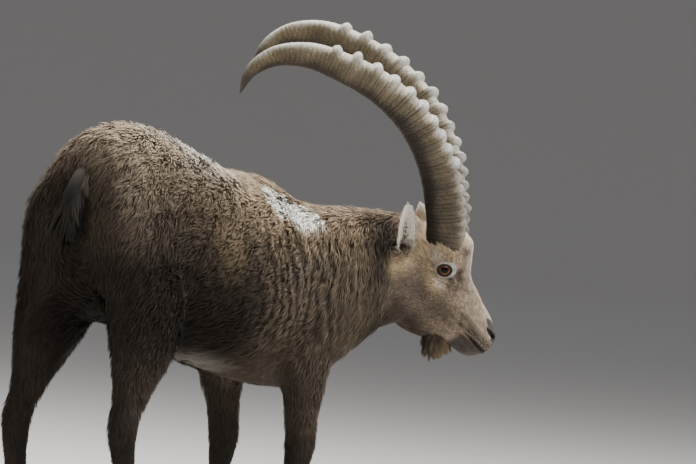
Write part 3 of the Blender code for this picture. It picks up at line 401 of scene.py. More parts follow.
def head_marks(local):
    """Colours of the face, by millimetres in the head's frame."""
    side, up, along = np.abs(local[:, 1]), local[:, 2], local[:, 0]
    mottle, fleck = waves(local, 14, 7), waves(local, 6, 8)
    cheek = smooth(-up, 18, 50) * (1 - smooth(along, 55, 105)) * smooth(side, 20, 40)
    jaw = smooth(-up, 84, 132) * (1 - smooth(along, 128, 150))
    colour = painted(
        plain(FACE_BROWN, len(local)),
        [
            (CHEEK_BROWN, (0.45 + 0.30 * mottle).clip(0, 1) * cheek),
            (WARM_BROWN, 0.6 * smooth(-along, 15, 50) * smooth(-up, 25, 60)),
            (DARK_BROWN, 0.85 * jaw),
            (PALE_GREY, 0.25 * smooth(along, 100, 140) * smooth(up, -30, -5)),
        ],
    )
    bridge = smooth(up, 8, 22) * smooth(along, 30, 50) * (1 - smooth(along, 110, 140))
    golden = smooth(-along, -25, 10) * smooth(up, -20, 10)
    gap, ahead = eye_gap(local), smooth(along + up, 14, 26)
    band = smooth(gap, 0.3, 1.3) * (1 - smooth(gap, 2.5 + 5.0 * ahead, 5.0 + 6.0 * ahead))
    over_mouth = up - np.interp(along, MOUTH_X, MOUTH_Z)
    upper = smooth(along, 122, 144) * (1 - smooth(over_mouth, 16, 34)) * smooth(over_mouth, -2, 3)
    chin = smooth(along, 122, 142) * (1 - smooth(over_mouth, -6, 0))
    away, gape = mouth_gap(local)
    colour = painted(
        patched(colour, local, FACE_PATCHES),
        [
            (DARK_BROWN, 0.55 * bridge * smooth(fleck, 0.2, 1.2)),
            (DARK_BROWN, 0.50 * golden * smooth(mottle + 0.7 * fleck, 0.3, 1.4)),
            (LID_GREY, band * (0.70 + 0.30 * ahead)),
            # Painted shade in the crack between the lids and the eyeball.
            (HOLLOW_SHADE_BLACK, 1 - smooth(gap, 0.3, 1.3)),
            (LIP_BROWN, (0.88 + 0.25 * fleck).clip(0, 1) * upper),
            (LIP_BROWN * (0.80, 0.88, 1.0), 0.92 * chin),
            (PAD_GREY, bare_pad(local)),
            # Painted shade in the nostril openings.
            (HOLLOW_SHADE_BLACK, nostril_slit(local)),
            (DARK_BROWN * 0.8, 0.85 * (1 - smooth(away - gape, 0.6, 2.4))),
            # Painted shade inside the mouth's opening.
            (MOUTH_SHADE, 1 - smooth(away - gape, -1.2, 0.2)),
        ],
    )
    calm = 1 - 0.5 * smooth(along, 120, 150)
    return colour * (1 + calm * (0.16 * mottle + 0.14 * fleck))[:, None]


# Places on the face in mm in the head's frame, on the left side; the mouth's last value is half its gape
EYE_MM = np.array((0.0, 59.0, 0.0))
NOSTRIL_LINE = np.array(
    ((152, 27, -7), (161, 26.5, -9.5), (170, 24, -10.5), (178, 20, -10.5), (184, 15, -10.5)), float
)
MOUTH_TABLE = np.array(
    (
        (200, 0, -45, 4.2), (196, 15, -45, 4.2), (190, 26, -45.5, 4.2), (182, 33, -46, 4.0),
        (171, 37, -46.5, 3.6), (157, 39, -48, 2.6), (144, 40.5, -50.5, 1.6), (134, 41, -52.5, 0.8),
    )
)
MOUTH_CURVE = MOUTH_TABLE[:, :3]
MOUTH_X, MOUTH_Z = MOUTH_CURVE[::-1, 0], MOUTH_CURVE[::-1, 2]
PAD_ASIDE, PAD_FROM = (0, 6, 14, 22, 28), (163, 153, 146, 141, 158)


def line_distance(local, line):
    """Distance in mm to a line of points, the head's right side folded onto its left, and the share along."""
    spots = folded(local)
    best, share = np.full(len(spots), 1e9), np.zeros(len(spots))
    for k in range(len(line) - 1):
        run = line[k + 1] - line[k]
        t = np.clip((spots - line[k]) @ run / (run @ run), 0, 1)
        away = np.linalg.norm(spots - line[k] - t[:, None] * run, axis=1)
        closer = away < best
        best = np.where(closer, away, best)
        share = np.where(closer, (k + t) / (len(line) - 1), share)
    return best, share


def mouth_gap(local):
    """Distance to the mouth's middle line and half the gape there, in mm."""
    away, share = line_distance(local, MOUTH_CURVE)
    return away, np.interp(share, np.linspace(0, 1, len(MOUTH_TABLE)), MOUTH_TABLE[:, 3])


def eye_distance(local):
    return np.linalg.norm(folded(local) - EYE_MM, axis=1)


# Eyes and lids, in mm and degrees
EYE_RADIUS, SOCKET_DEPTH = 18.0, 2.2
EYE_LOOK = np.array((0.22, 0.95, 0.18))
LID_OPENING, LID_RIM = (14.8, 11.8), (16.6, 13.6)
LID_TILT = 45.0


def eye_axes(side):
    """Columns: forward along the lids, up across them, and the way the eye looks, in the head's frame."""
    z = unit(EYE_LOOK * (1, side, 1))
    tilt = math.radians(LID_TILT)
    x = np.array((math.cos(tilt), 0.0, math.sin(tilt)))
    x = unit(x - z * (x @ z))
    return np.stack([x, -side * np.cross(z, x), z], axis=1)


def eye_gap(local):
    """How far in mm each point lies outside the rim of the lids, seen along the way the eye looks."""
    x, y, z = ((folded(local) - EYE_MM) @ eye_axes(1)).T
    away = (np.hypot(x / LID_RIM[0], y / LID_RIM[1]) - 1) * 15
    return away + 40 * smooth(-z, -4, 6)


def nostril_slit(local):
    away, share = line_distance(local, NOSTRIL_LINE)
    wide = np.interp(share, (0, 0.3, 1), (1.2, 2.6, 4.2))
    return 1 - smooth(away - wide, -0.2, 1.8)


def bare_pad(local):
    """1 on the naked skin above the nostrils and between them."""
    side, up = np.abs(local[:, 1]), local[:, 2]
    pad = smooth(local[:, 0] - np.interp(side, PAD_ASIDE, PAD_FROM), -3, 3) * (1 - smooth(side, 25, 29))
    narrow = 1 - smooth(side, 11, 16) * (1 - smooth(up, -24, -15))
    return pad * narrow * smooth(up, -36, -31)


# Ears
EAR_LINES = {
    "right": np.array(((-80.0, -56.0, -52.0), (-89.0, -112.0, -30.0), (-160.0, -132.0, 36.0))),
    "left": np.array(((-80.0, 56.0, -52.0), (-89.0, 112.0, -30.0), (-137.0, 132.0, 22.0))),
}
EAR_OPEN = {"right": np.array((0.40, -0.88, 0.20)), "left": np.array((0.66, 0.70, 0.22))}


def ear_place(local, side_name):
    """For points in the head's frame: share of the ear's length, mm across it, way along it, way it opens."""
    root, bend, tip = EAR_LINES[side_name]
    t = np.linspace(0, 1, 60)[:, None]
    line = root * (1 - t) ** 2 + bend * 2 * t * (1 - t) + tip * t**2
    way = unit((bend - root) * (1 - t) + (tip - bend) * t)
    nearest = np.linalg.norm(local[:, None] - line[None], axis=2).argmin(axis=1)
    way = way[nearest]
    out = unit(EAR_OPEN[side_name] - way * (way @ EAR_OPEN[side_name])[:, None])
    across = ((local - line[nearest]) * np.cross(out, way)).sum(axis=1)
    return t[nearest, 0], across, way, out


def ear_marks(local, normals_local, side_name):
    """Pale inside with a dark middle, olive tan outside and a white rim."""
    share, across, _, out = ear_place(local, side_name)
    inside = smooth((normals_local * out).sum(axis=1), -0.1, 0.25)
    outer = plain(0.6 * GOLD + 0.4 * CHEEK_BROWN, len(local))
    outer = mixed(outer, CREAM, 0.8 * smooth(share, 0.80, 0.97))
    dark = np.exp(-(((across - 1.5) / 6.0) ** 2) - ((share - 0.56) / 0.21) ** 2)
    fleck = waves(local, 5, 12)
    inner = painted(
        plain(0.7 * CREAM + 0.3 * TAN, len(local)),
        [
            (CHEEK_BROWN * 0.6, (1.5 * dark * (0.8 + 0.6 * fleck)).clip(0, 0.95)),
            (GOLD, 0.55 * (1 - smooth(share, 0.20, 0.40))),
        ],
    )
    return mixed(outer, inner, inside)


def marks(points, normals, label):
    """The coat's colour at world points, with painted shade on the trunk's back-facing surfaces."""
    place, head, neck, leg, shank = shares(points)
    local = in_head(points)
    colour = mixed(body_marks(place, neck, leg, shank), head_marks(local), head)
    colour = patched(colour, local, NAPE_PATCHES)
    # Painted shade on the trunk's back-facing surfaces, deeper on the far side, away from the lights.
    far_side_shade = 0.55 + 0.45 * smooth(place[:, 1], -0.02, 0.05)
    rear = far_side_shade * smooth(-normals[:, 0], 0.50, 0.92) * (1 - smooth(place[:, 2], 0.76, 0.84))
    colour = mixed(colour, DARK_BROWN * 0.6, 0.85 * rear * (1 - head) * (1 - neck))
    collar = horn_edge(points)
    collar = smooth(collar, 0.85, 0.95) * (1 - smooth(collar, 1.15, 1.5))
    colour = mixed(colour, GOLD, 0.75 * head * collar)
    for side_name, _ in SIDES:
        mine = label == FLESH.index("ear_" + side_name)
        if mine.any():
            colour[mine] = ear_marks(local[mine], normals[mine] @ HEAD_AXES, side_name)
    return colour


def lie_ways(points, normals, label):
    """The way the hair lies at each point, along the skin."""
    place, head, neck, leg, _ = shares(points)
    along, aside, turn = on_trunk(place)
    back = -np.stack([np.cos(turn), np.sin(turn), np.zeros(len(turn))], axis=1)
    fall = 0.45 + 0.75 * smooth(-along, 0.40, 0.54) + 0.9 * smooth(along, -0.06, 0.10)
    fall = fall * smooth(np.abs(aside), 0.01, 0.10)
    neck_fall = 1.15 - 0.90 * smooth(normals[:, 2], 0.55, 0.95)
    neck_way = -unit(NECK_CUT_WAY) * 0.62 + DOWN * neck_fall[:, None]
    way = blend(back + DOWN * fall[:, None], neck_way, neck[:, None])
    way = blend(way, DOWN, leg[:, None])
    local = in_head(points)
    x, z, side = local[:, 0], local[:, 2], np.sign(local[:, 1])
    drop = 0.85 * smooth(-z, 5, 60)
    lift = 0.9 * smooth(z, 25, 60) * smooth(-x, -20, 30)
    face = np.stack([-np.ones(len(x)), 0.25 * side * smooth(-z, -20, 30), lift - drop], axis=1)
    lip_way = np.stack([-0.5 + 0 * x, 0.4 * side, -0.6 + 0 * x], axis=1)
    face = blend(face, lip_way, smooth(x, 150, 178)[:, None])
    horn_way = unit(HORN_LINE[1] - HORN_LINE[0])
    horn_way = np.stack([horn_way[0] + 0 * x, horn_way[1] * side, horn_way[2] + 0 * x], axis=1)
    collar = (1 - smooth(horn_edge(points), 1.15, 1.55))[:, None]
    face = blend(unit(face), horn_way, 0.6 * collar)
    way = blend(way, unit(face @ HEAD_AXES.T), head[:, None])
    for side_name, _ in SIDES:
        mine = label == FLESH.index("ear_" + side_name)
        way[mine] = ear_place(local[mine], side_name)[2] @ HEAD_AXES.T
    return along_skin(way, normals)


def along_skin(way, normals):
    return unit(way - normals * (way * normals).sum(axis=1)[:, None])


def labelled(points, names):
    """The number of the node whose surface is nearest each point."""
    spots, faces, owner = [], [], []
    start = 0
    for k, name in enumerate(names):
        node_spots, node_faces = mesh_arrays(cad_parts[name].data)
        spots.append(node_spots)
        faces.append(node_faces + start)
        owner += [k] * len(node_faces)
        start += len(node_spots)
    tree = BVHTree.FromPolygons(np.concatenate(spots).tolist(), np.concatenate(faces).tolist())
    return np.array([owner[tree.find_nearest(point)[2]] for point in points.tolist()])


# Coat depth in mm
DEPTHS = {"trunk": 15.0, "withers": 22.0, "neck": 17.0, "leg": 9.0, "shank": 4.5}
DEPTHS.update({"head": 3.4, "muzzle": 1.4, "ear": 0.7})


def coat_depths(points, label):
    """How far the skin lies inside the solids."""
    place, head, neck, leg, shank = shares(points)
    along, _, _ = on_trunk(place)
    withers = np.exp(-((along / 0.12) ** 2)) * smooth(place[:, 2], 0.72, 0.82)
    depth = DEPTHS["trunk"] + (DEPTHS["withers"] - DEPTHS["trunk"]) * withers
    for name, share in (("neck", neck), ("leg", leg), ("shank", shank)):
        depth = blend(depth, DEPTHS[name], share)
    local = in_head(points)
    face = DEPTHS["head"] + (DEPTHS["muzzle"] - DEPTHS["head"]) * smooth(local[:, 0], 90, 150)
    face = face + 5.0 * smooth(-local[:, 0], 20, 70) * smooth(-local[:, 2], 0, 50)
    away, gape = mouth_gap(local)
    depth = blend(depth, face, head) * smooth(eye_distance(local), 20, 30)
    depth = depth * smooth(away - gape, 0.5, 5.0) * smooth(place[:, 2], 0.045, 0.060)
    return np.where(np.isin(label, EAR_LABELS), DEPTHS["ear"], depth)


# Free space round each chart of the texture
ATLAS_GAP = 0.003


def atlas(spots, triangles, label):
    """Texture places of the triangles' corners: flat views of each part from six sides, packed."""
    corners = spots[triangles]
    normals = np.cross(corners[:, 1] - corners[:, 0], corners[:, 2] - corners[:, 0])
    axis = np.abs(normals).argmax(axis=1)
    sign = np.take_along_axis(normals, axis[:, None], 1)[:, 0] > 0
    chart = label[triangles[:, 0]] * 6 + axis * 2 + sign
    others = np.array(((1, 2), (0, 2), (0, 1)))[axis]
    flat = np.stack([np.take_along_axis(corners[:, k], others, 1) for k in range(3)], axis=1)
    scale = np.where(label[triangles[:, 0]] == FLESH.index("head"), 1.8, 1.0)
    flat = flat * scale[:, None, None]
    names = np.unique(chart)
    lows = np.array([flat[chart == c].reshape(-1, 2).min(axis=0) for c in names])
    sizes = np.array([flat[chart == c].reshape(-1, 2).max(axis=0) for c in names]) - lows
    order = np.argsort(-sizes[:, 1])
    fit = 0.25
    while True:
        places, x, y, row = {}, ATLAS_GAP, ATLAS_GAP, 0.0
        for k in order:
            width, height = sizes[k] * fit + ATLAS_GAP
            if x + width > 1:
                x, y, row = ATLAS_GAP, y + row, 0.0
            places[names[k]] = (x, y)
            x, row = x + width, max(row, height)
        if y + row < 1:
            break
        fit *= 0.97
    made = np.empty((len(triangles), 3, 2))
    for k, c in enumerate(names):
        mine = chart == c
        made[mine] = (flat[mine] - lows[k]) * fit + places[c]
    return made


def mesh_from(name, spots, triangles, tint, uv, normals=None):
    """A mesh from arrays: a colour and perhaps a normal for each vertex, a texture place for each corner."""
    mesh = bpy.data.meshes.new(name)
    mesh.vertices.add(len(spots))
    mesh.vertices.foreach_set("co", np.ascontiguousarray(spots, np.float32).ravel())
    mesh.loops.add(triangles.size)
    mesh.loops.foreach_set("vertex_index", np.ascontiguousarray(triangles, np.int32).ravel())
    mesh.polygons.add(len(triangles))
    mesh.polygons.foreach_set("loop_start", np.arange(0, triangles.size, 3, dtype=np.int32))
    mesh.update(calc_edges=True)
    layer = mesh.uv_layers.new(name="OFBake")
    layer.uv.foreach_set("vector", np.ascontiguousarray(uv, np.float32).ravel())
    attribute = mesh.color_attributes.new("tint", "FLOAT_COLOR", "POINT")
    rgba = np.ones((len(spots), 4), np.float32)
    rgba[:, :3] = np.clip(tint, 0, 1)
    attribute.data.foreach_set("color", rgba.ravel())
    mesh.shade_smooth()
    if normals is not None:
        mesh.normals_split_custom_set_from_vertices(normals)
    return mesh


def new_piece(name, *arrays):
    """An object with the mesh that mesh_from makes of the arrays."""
    return new_object(name, mesh_from(name, *arrays))


def thinned_flesh():
    """The fused flesh as fewer triangles, kept finer on the head."""
    skin = fused_flesh()
    bm = bmesh.new()
    bm.from_mesh(skin.data)
    bmesh.ops.triangulate(bm, faces=bm.faces)
    bm.to_mesh(skin.data)
    bm.free()
    spots, _ = mesh_arrays(skin.data)
    _, head, _, _, _ = shares(spots)
    local = in_head(spots)
    head = head * (0.35 + 0.65 * smooth(local[:, 0], -30, 20))
    group = skin.vertex_groups.new(name="fine")
    steps = np.round(head * 4).astype(int)
    for step in range(1, 5):
        group.add(np.nonzero(steps == step)[0].tolist(), step / 4, "REPLACE")
    thin = skin.modifiers.new("thin", "DECIMATE")
    thin.ratio = SKIN_TRIANGLES / len(skin.data.polygons)
    thin.vertex_group = "fine"
    thin.invert_vertex_group = True
    thin.vertex_group_factor = 1.0
    apply_modifiers(skin)
    return skin


def largest_part(spots, triangles):
    """Keeps the one surface with the most vertices."""
    edges = edges_of(triangles)
    group = np.arange(len(spots))
    while True:
        low = np.minimum(group[edges[:, 0]], group[edges[:, 1]])
        after = group.copy()
        np.minimum.at(after, edges[:, 0], low)
        np.minimum.at(after, edges[:, 1], low)
        after = after[after]
        if (after == group).all():
            break
        group = after
    best = np.bincount(group).argmax()
    keep = group == best
    number = np.cumsum(keep) - 1
    return spots[keep], number[triangles[keep[triangles[:, 0]]]]


def vertex_normals(spots, triangles):
    corners = spots[triangles]
    flat = np.cross(corners[:, 1] - corners[:, 0], corners[:, 2] - corners[:, 0])
    normals = np.zeros_like(spots)
    for k in range(3):
        for c in range(3):
            normals[:, c] += np.bincount(triangles[:, k], flat[:, c], len(spots))
    return unit(normals)


def refined_where(spots, triangles, fine):
    """Splits edges whose ends are both marked, once, on a copy of the surface."""
    mesh = bpy.data.meshes.new("refine")
    mesh.from_pydata(spots.tolist(), [], triangles.tolist())
    bm = bmesh.new()
    bm.from_mesh(mesh)
    bm.verts.ensure_lookup_table()
    chosen = [e for e in bm.edges if fine[e.verts[0].index] and fine[e.verts[1].index]]
    bmesh.ops.subdivide_edges(bm, edges=chosen, cuts=1)
    bmesh.ops.triangulate(bm, faces=bm.faces)
    bm.to_mesh(mesh)
    bm.free()
    spots, triangles = mesh_arrays(mesh)
    bpy.data.meshes.remove(mesh)
    return spots, triangles


# Small forms of the face that the solids leave to the skin: place, reach in mm and height in mm
SMALL_FORMS = [
    ((-6, 62, 27), (15, 14, 7), 2.0),
    ((14, 60, 20), (9, 12, 6), 1.2),
    ((31, 55, -4), (13, 12, 4.0), -2.2),
    ((20, 60, -26), (20, 14, 8), 1.4),
    ((12, 64, -40), (22, 14, 12), 1.2),
    ((60, 44, -8), (26, 12, 10), -1.2),
    ((60, 50, -62), (30, 14, 16), -1.5),
    ((120, 36, -22), (22, 12, 10), 1.2),
    ((122, 42, -43), (10, 10, 3.5), -1.6),
    ((132, 42, -56), (12, 10, 6), 1.0),
]


def sculpt_face(spots, normals, head):
    """Lips, nostrils, the opening of the lids and small forms of the face."""
    local = in_head(spots)
    rise = np.zeros(len(spots))
    for centre, reach, height in SMALL_FORMS:
        rise += height * near(local, centre, reach)
    away, gape = mouth_gap(local)
    corner = 1 - smooth(local[:, 0], 142, 156)
    front = smooth(local[:, 0], 130, 138)
    rise += front * 0.9 * np.exp(-(((away - gape - 3.0) / 2.0) ** 2))
    rise -= front * corner * 3.0 * np.exp(-((away / 1.6) ** 2))
    away, share = line_distance(local, NOSTRIL_LINE)
    wide = np.interp(share, (0, 0.3, 1), (1.6, 2.8, 4.0))
    rise += 1.1 * np.exp(-(((away - wide - 2.6) / 1.8) ** 2)) - 2.4 * np.exp(-((away / wide) ** 2))
    x, y, z = local.T
    cleft = np.exp(-((y / 1.6) ** 2)) * smooth(x, 190, 197) * smooth(z, -46, -40)
    rise -= 1.2 * cleft * (1 - smooth(z, -22, -14))
    spots = spots + normals * (rise * head * MM)[:, None]
    local = in_head(spots)
    for side in (1, -1):
        axes = eye_axes(side)
        seen = (local - EYE_MM * (1, side, 1)) @ axes
        share = np.hypot(seen[:, 0] / (LID_RIM[0] + 0.2), seen[:, 1] / (LID_RIM[1] + 0.2))
        inside = (share < 1) & (seen[:, 2] > 3) & (seen[:, 2] < 30)
        seen[inside, :2] /= np.maximum(share[inside], 0.5)[:, None]
        out = np.hypot(seen[:, 0], seen[:, 1])
        cap = np.sqrt(np.maximum((EYE_RADIUS - SOCKET_DEPTH) ** 2 - out**2, 0.0))
        seen[inside, 2] = np.minimum(seen[inside, 2], cap[inside])
        local[inside] = (seen @ axes.T + EYE_MM * (1, side, 1))[inside]
        spots[inside] = from_head(local[inside])
    return spots


def make_skin():
    """The skin's object and the arrays that the coat grows from."""
    fused = thinned_flesh()
    spots, triangles = mesh_arrays(fused.data)
    bpy.data.objects.remove(fused, do_unlink=True)
    spots, triangles = largest_part(spots, triangles)
    local = in_head(spots)
    _, head, _, _, _ = shares(spots)
    fine = ((local[:, 0] > 118) | (eye_distance(local) < 32)) & (head > 0.5)
    spots, triangles = refined_where(spots, triangles, fine)
    edges = edges_of(triangles)
    label = labelled(spots, FLESH)
    _, head, _, _, _ = shares(spots)
    local = in_head(spots)
    ear = np.isin(label, EAR_LABELS).astype(float)
    near_eye = head * (1 - smooth(eye_distance(local), 22, 26))
    held = np.maximum(head * (0.93 - 0.25 * smooth(local[:, 0], 90, 125)), near_eye * 0.97)
    hold = np.clip(np.maximum(held, relaxed(ear, edges, 2) * 0.93), 0, 1)
    spots = relaxed(spots, edges, FUSED_ROUNDS, hold)
    normals = vertex_normals(spots, triangles)
    depth = relaxed(coat_depths(spots, label), edges, DEPTH_ROUNDS, np.clip(ear * 2, 0, 1))
    thin_coat = np.clip(head + ear, 0, 1)
    soft = unit(relaxed(normals, edges, PUSH_ROUNDS, thin_coat * 0.85))
    spots = relaxed(spots - soft * (depth * MM)[:, None], edges, LAST_ROUNDS, thin_coat)
    spots = sculpt_face(spots, vertex_normals(spots, triangles), head * (1 - ear))
    normals = vertex_normals(spots, triangles)
    uv = atlas(spots, triangles, label)
    lie = lie_ways(spots, normals, label)
    for _ in range(3):
        lie = along_skin(relaxed(lie, edges, 3), normals)
    tone = 0.50 + 0.35 * head * smooth(local[:, 0], 60, 150) + 0.3 * ear
    tint = marks(spots, normals, label) * tone[:, None]
    return new_piece("skin", spots, triangles, tint, uv), {
        "spots": spots, "triangles": triangles, "label": label, "normals": normals,
        "depth": depth, "lie": lie, "uv": uv,
    }


# Tufts
def rooted(flesh, weights, count, seed):
    """Places on the skin: triangle numbers and shares of its corners, spread evenly by weight."""
    rng = np.random.default_rng(seed)
    corners = flesh["spots"][flesh["triangles"]]
    area = np.linalg.norm(np.cross(corners[:, 1] - corners[:, 0], corners[:, 2] - corners[:, 0]), axis=1) / 2
    total = np.cumsum(area * weights[flesh["triangles"]].mean(axis=1))
    at = (np.arange(count) + rng.uniform(size=count)) / count * total[-1]
    chosen = np.minimum(np.searchsorted(total, at), len(total) - 1)
    a, b = np.sqrt(rng.uniform(size=count)), rng.uniform(size=count)
    mix = np.stack([1 - a, a * (1 - b), a * b], axis=1)
    return chosen, mix


def at_roots(flesh, values, chosen, mix):
    rows = values[flesh["triangles"][chosen]]
    if rows.ndim == 2:
        return (rows * mix).sum(axis=1)
    return (rows * mix[:, :, None]).sum(axis=1)


def clumped(roots, spacing, seed):
    """For each root the number of the nearest clump centre, and the centres' own numbers."""
    rng = np.random.default_rng(seed)
    chosen = rng.permutation(len(roots))[: max(1, int(len(roots) / spacing))]
    tree = KDTree(len(chosen))
    for k, root in enumerate(chosen):
        tree.insert(roots[root], k)
    tree.balance()
    owner = np.array([tree.find(root)[1] for root in roots.tolist()])
    return owner, chosen


# Shares of the length at a tuft's rings and tip: a straight hair lock, a bent one and a long one
TUFT_PATHS = {"spike": (0.0, 1.0), "short": (0.0, 0.5, 1.0), "long": (0.0, 0.34, 0.68, 1.0)}


# How far a tuft's normals turn to its sides and its tip, how deep it is rooted, and half its patch of texture
SIDE_LEAN, TIP_LEAN = 0.45, 0.25
ROOTED = 0.0012
PATCH = 0.0015


def tuft_arrays(root, normal, lie, length, width, rise, pull, tint, uv, path, shade=(0.60, 0.95, 1.12)):
    """Vertices, triangles, colours, texture places and normals of three-sided tapered tufts.

    The normals lean to those of the skin, so that the coat takes the light softly, as fine hair does.
    """
    steps = TUFT_PATHS[path]
    rings = len(steps) - 1
    per = rings * 3 + 1
    count = len(root)
    across = np.cross(normal, lie)
    spots = np.empty((count, per, 3))
    tints = np.empty((count, per, 3))
    places = np.empty((count, per, 2))
    facing = np.repeat(normal[:, None], per, axis=1)
    base = root - normal * ROOTED
    for k, share in enumerate(steps):
        lift = rise * (1 - (1 - share) ** 2)
        centre = base + lie * (length * share)[:, None] + normal * lift[:, None] + pull * share**1.5
        tone = np.interp(share, (0, 0.5, 1), shade)
        if k == rings:
            spots[:, -1] = centre
            tints[:, -1] = tint * tone
            places[:, -1] = uv + (0.0, PATCH)
            facing[:, -1] += lie * TIP_LEAN
            continue
        wide = width / 2 * (0.85 + 0.6 * share - 1.1 * share * share)
        spots[:, 3 * k] = centre - across * wide[:, None]
        spots[:, 3 * k + 1] = centre + across * wide[:, None]
        spots[:, 3 * k + 2] = centre + normal * (wide * 0.8)[:, None]
        tints[:, 3 * k : 3 * k + 3] = (tint * tone)[:, None]
        facing[:, 3 * k] -= across * SIDE_LEAN
        facing[:, 3 * k + 1] += across * SIDE_LEAN
        for corner, beside in enumerate((-PATCH, PATCH, 0.0)):
            places[:, 3 * k + corner] = uv + (beside, 2 * PATCH * share - PATCH)
    around = ((0, 1), (1, 2), (2, 0))
    faces = [(0, 2, 1)]
    for start in range(0, 3 * rings - 3, 3):
        for one, other in around:
            left, right = start + one, start + other
            faces += [(left, right, right + 3), (left, right + 3, left + 3)]
    faces += [(3 * rings - 3 + one, 3 * rings - 3 + other, 3 * rings) for one, other in around]
    faces = np.array(faces)
    triangles = (faces[None] + (np.arange(count) * per)[:, None, None]).reshape(-1, 3)
    spots, tints, facing = (field.reshape(-1, 3) for field in (spots, tints, unit(facing)))
    return spots, triangles, tints, np.clip(places, 0, 1).reshape(-1, 2), facing


def coat_piece(name, arrays):
    spots, triangles, tints, places, facing = arrays
    return new_piece(name, spots, triangles, tints, places[triangles], facing)


# Layers of the coat: part, roots, roots in a clump, path, size of a tuft against the plain one, tone
LAYERS = [
    ("body", 32000, 4.0, "short", (0.95, 0.90, 0.92), 0.88),
    ("body", 150000, 6.0, "spike", (1.00, 0.52, 1.00), 1.04),
    ("head", 58000, 7.0, "spike", (1.00, 1.00, 1.00), 1.00),
    ("legs", 30000, 8.0, "spike", (1.00, 1.00, 1.00), 1.00),
    ("ears", 9000, 5.0, "spike", (1.00, 1.00, 1.00), 1.00),
]


def on_withers(points):
    """1 where the long hair of the withers grows."""
    place = points - SHIFT
    along, _, _ = on_trunk(place)
    return np.exp(-(((along + 0.06) / 0.12) ** 2)) * smooth(place[:, 2], 0.68, 0.80)


def coat_sizes(points, normals, label, depth):
    """Length, width and rise of the tufts at points, in metres."""
    _, head, neck, leg, shank = shares(points)
    local = in_head(points)
    muzzle = smooth(local[:, 0], 50, 150)
    poll = smooth(-local[:, 0], 15, 60)
    face = 9.0 - 5.0 * muzzle + 12 * poll + 8 * poll * smooth(-local[:, 2], -10, 40)
    length = 31 + 26 * on_withers(points) + 7 * neck
    width = 3.2
    for share, long, wide in (
        (leg, 26, 2.6),
        (shank, 15, 2.0),
        (head, face, 1.5 - 0.6 * muzzle + 0.9 * poll),
    ):
        length, width = blend(length, long, share), blend(width, wide, share)
    rise = depth * 0.92 + 0.25
    near_eye = 1 - smooth(eye_distance(local), 22, 30)
    length = length * (1 - 0.4 * near_eye * head)
    collar = head * (1 - smooth(horn_edge(points), 1.15, 1.45))
    length, rise = length + 2 * collar, rise + 1.2 * collar
    for side_name, _ in SIDES:
        mine = label == FLESH.index("ear_" + side_name)
        share, _, _, out = ear_place(local[mine], side_name)
        inside = smooth((normals[mine] @ HEAD_AXES * out).sum(axis=1), -0.1, 0.25)
        rooted_deep = inside * (1 - smooth(share, 0.25, 0.45))
        length[mine] = 6.0 + 6.0 * inside * (1 - smooth(share, 0.70, 0.95)) + 9.0 * rooted_deep
        width[mine] = 1.1 + 0.5 * rooted_deep
        rise[mine] = 1.3 + 1.2 * inside + 6.5 * rooted_deep
    return length * MM, width * MM, rise * MM


def grown_skin(points):
    """1 where hair grows, and 0 at the eyes, on the nose, in the mouth and under the horns."""
    local = in_head(points)
    away, gape = mouth_gap(local)
    bare = np.maximum(nostril_slit(local), bare_pad(local))
    open_skin = smooth(eye_gap(local), 1.4, 3.0) * (1 - bare) * smooth(horn_edge(points), 0.88, 0.97)
    return open_skin * smooth(away - gape, 0.6, 2.0)


def face_density(points):
    """The short face hair stands closer together towards the muzzle."""
    return 1.0 + 1.6 * smooth(in_head(points)[:, 0], 0, 140)


NECK_PITCH = 0.023
RIDGE_WAY = np.array((0.80, -0.55, 0.10)) / math.sqrt(0.9525)


def corrugated(root):
    """Upright wavy ridges of the hair at the neck's root: how much, how high, and the pull to them."""
    place, head, neck, leg, _ = shares(root)
    along, _, _ = on_trunk(place)
    height = place[:, 2]
    belt = smooth(along, -0.20, -0.10) * (1 - smooth(along, 0.04, 0.16))
    belt = belt * smooth(height, 0.44, 0.54) * (1 - smooth(height, 0.70, 0.75))
    strength = (0.20 * neck + 0.95 * belt).clip(0, 1) * (1 - head) * (1 - leg)
    wander = waves(place, 0.11, 14) * 0.011 + waves(place, 0.04, 15) * 0.003
    phase = (place @ RIDGE_WAY + wander) * (2 * math.pi / NECK_PITCH)
    pull = -np.sin(phase) * NECK_PITCH * 0.22
    return strength, np.cos(phase), pull


# Where along its length a tuft is mostly seen
SHOWN = 0.55
# How much clumps and single tufts differ in length, rise, turn and tone
CLUMP_LONG, TUFT_LONG, TUFT_RISE = (0.84, 1.16), (0.72, 1.15), (0.70, 1.08)
CLUMP_TURN, TUFT_TURN, WAVE_TURN = 0.14, 0.12, 0.20
CLUMP_TONES, TUFT_TONE, PALE_TUFTS, PALE_TONE = {"head": 0.17}, 0.12, 0.14, 1.7
# How far tips are gathered to their clump's tip, and the most of a tuft's length that they move
GATHERED, MOST_GATHERED = (0.15, 0.60), 0.30


def limited(pull, length):
    """Pulls that move a tip by no more than a share of its tuft's length."""
    far = np.maximum(np.linalg.norm(pull, axis=1), 1e-6)
    return pull * np.minimum(1.0, MOST_GATHERED * length / far)[:, None]


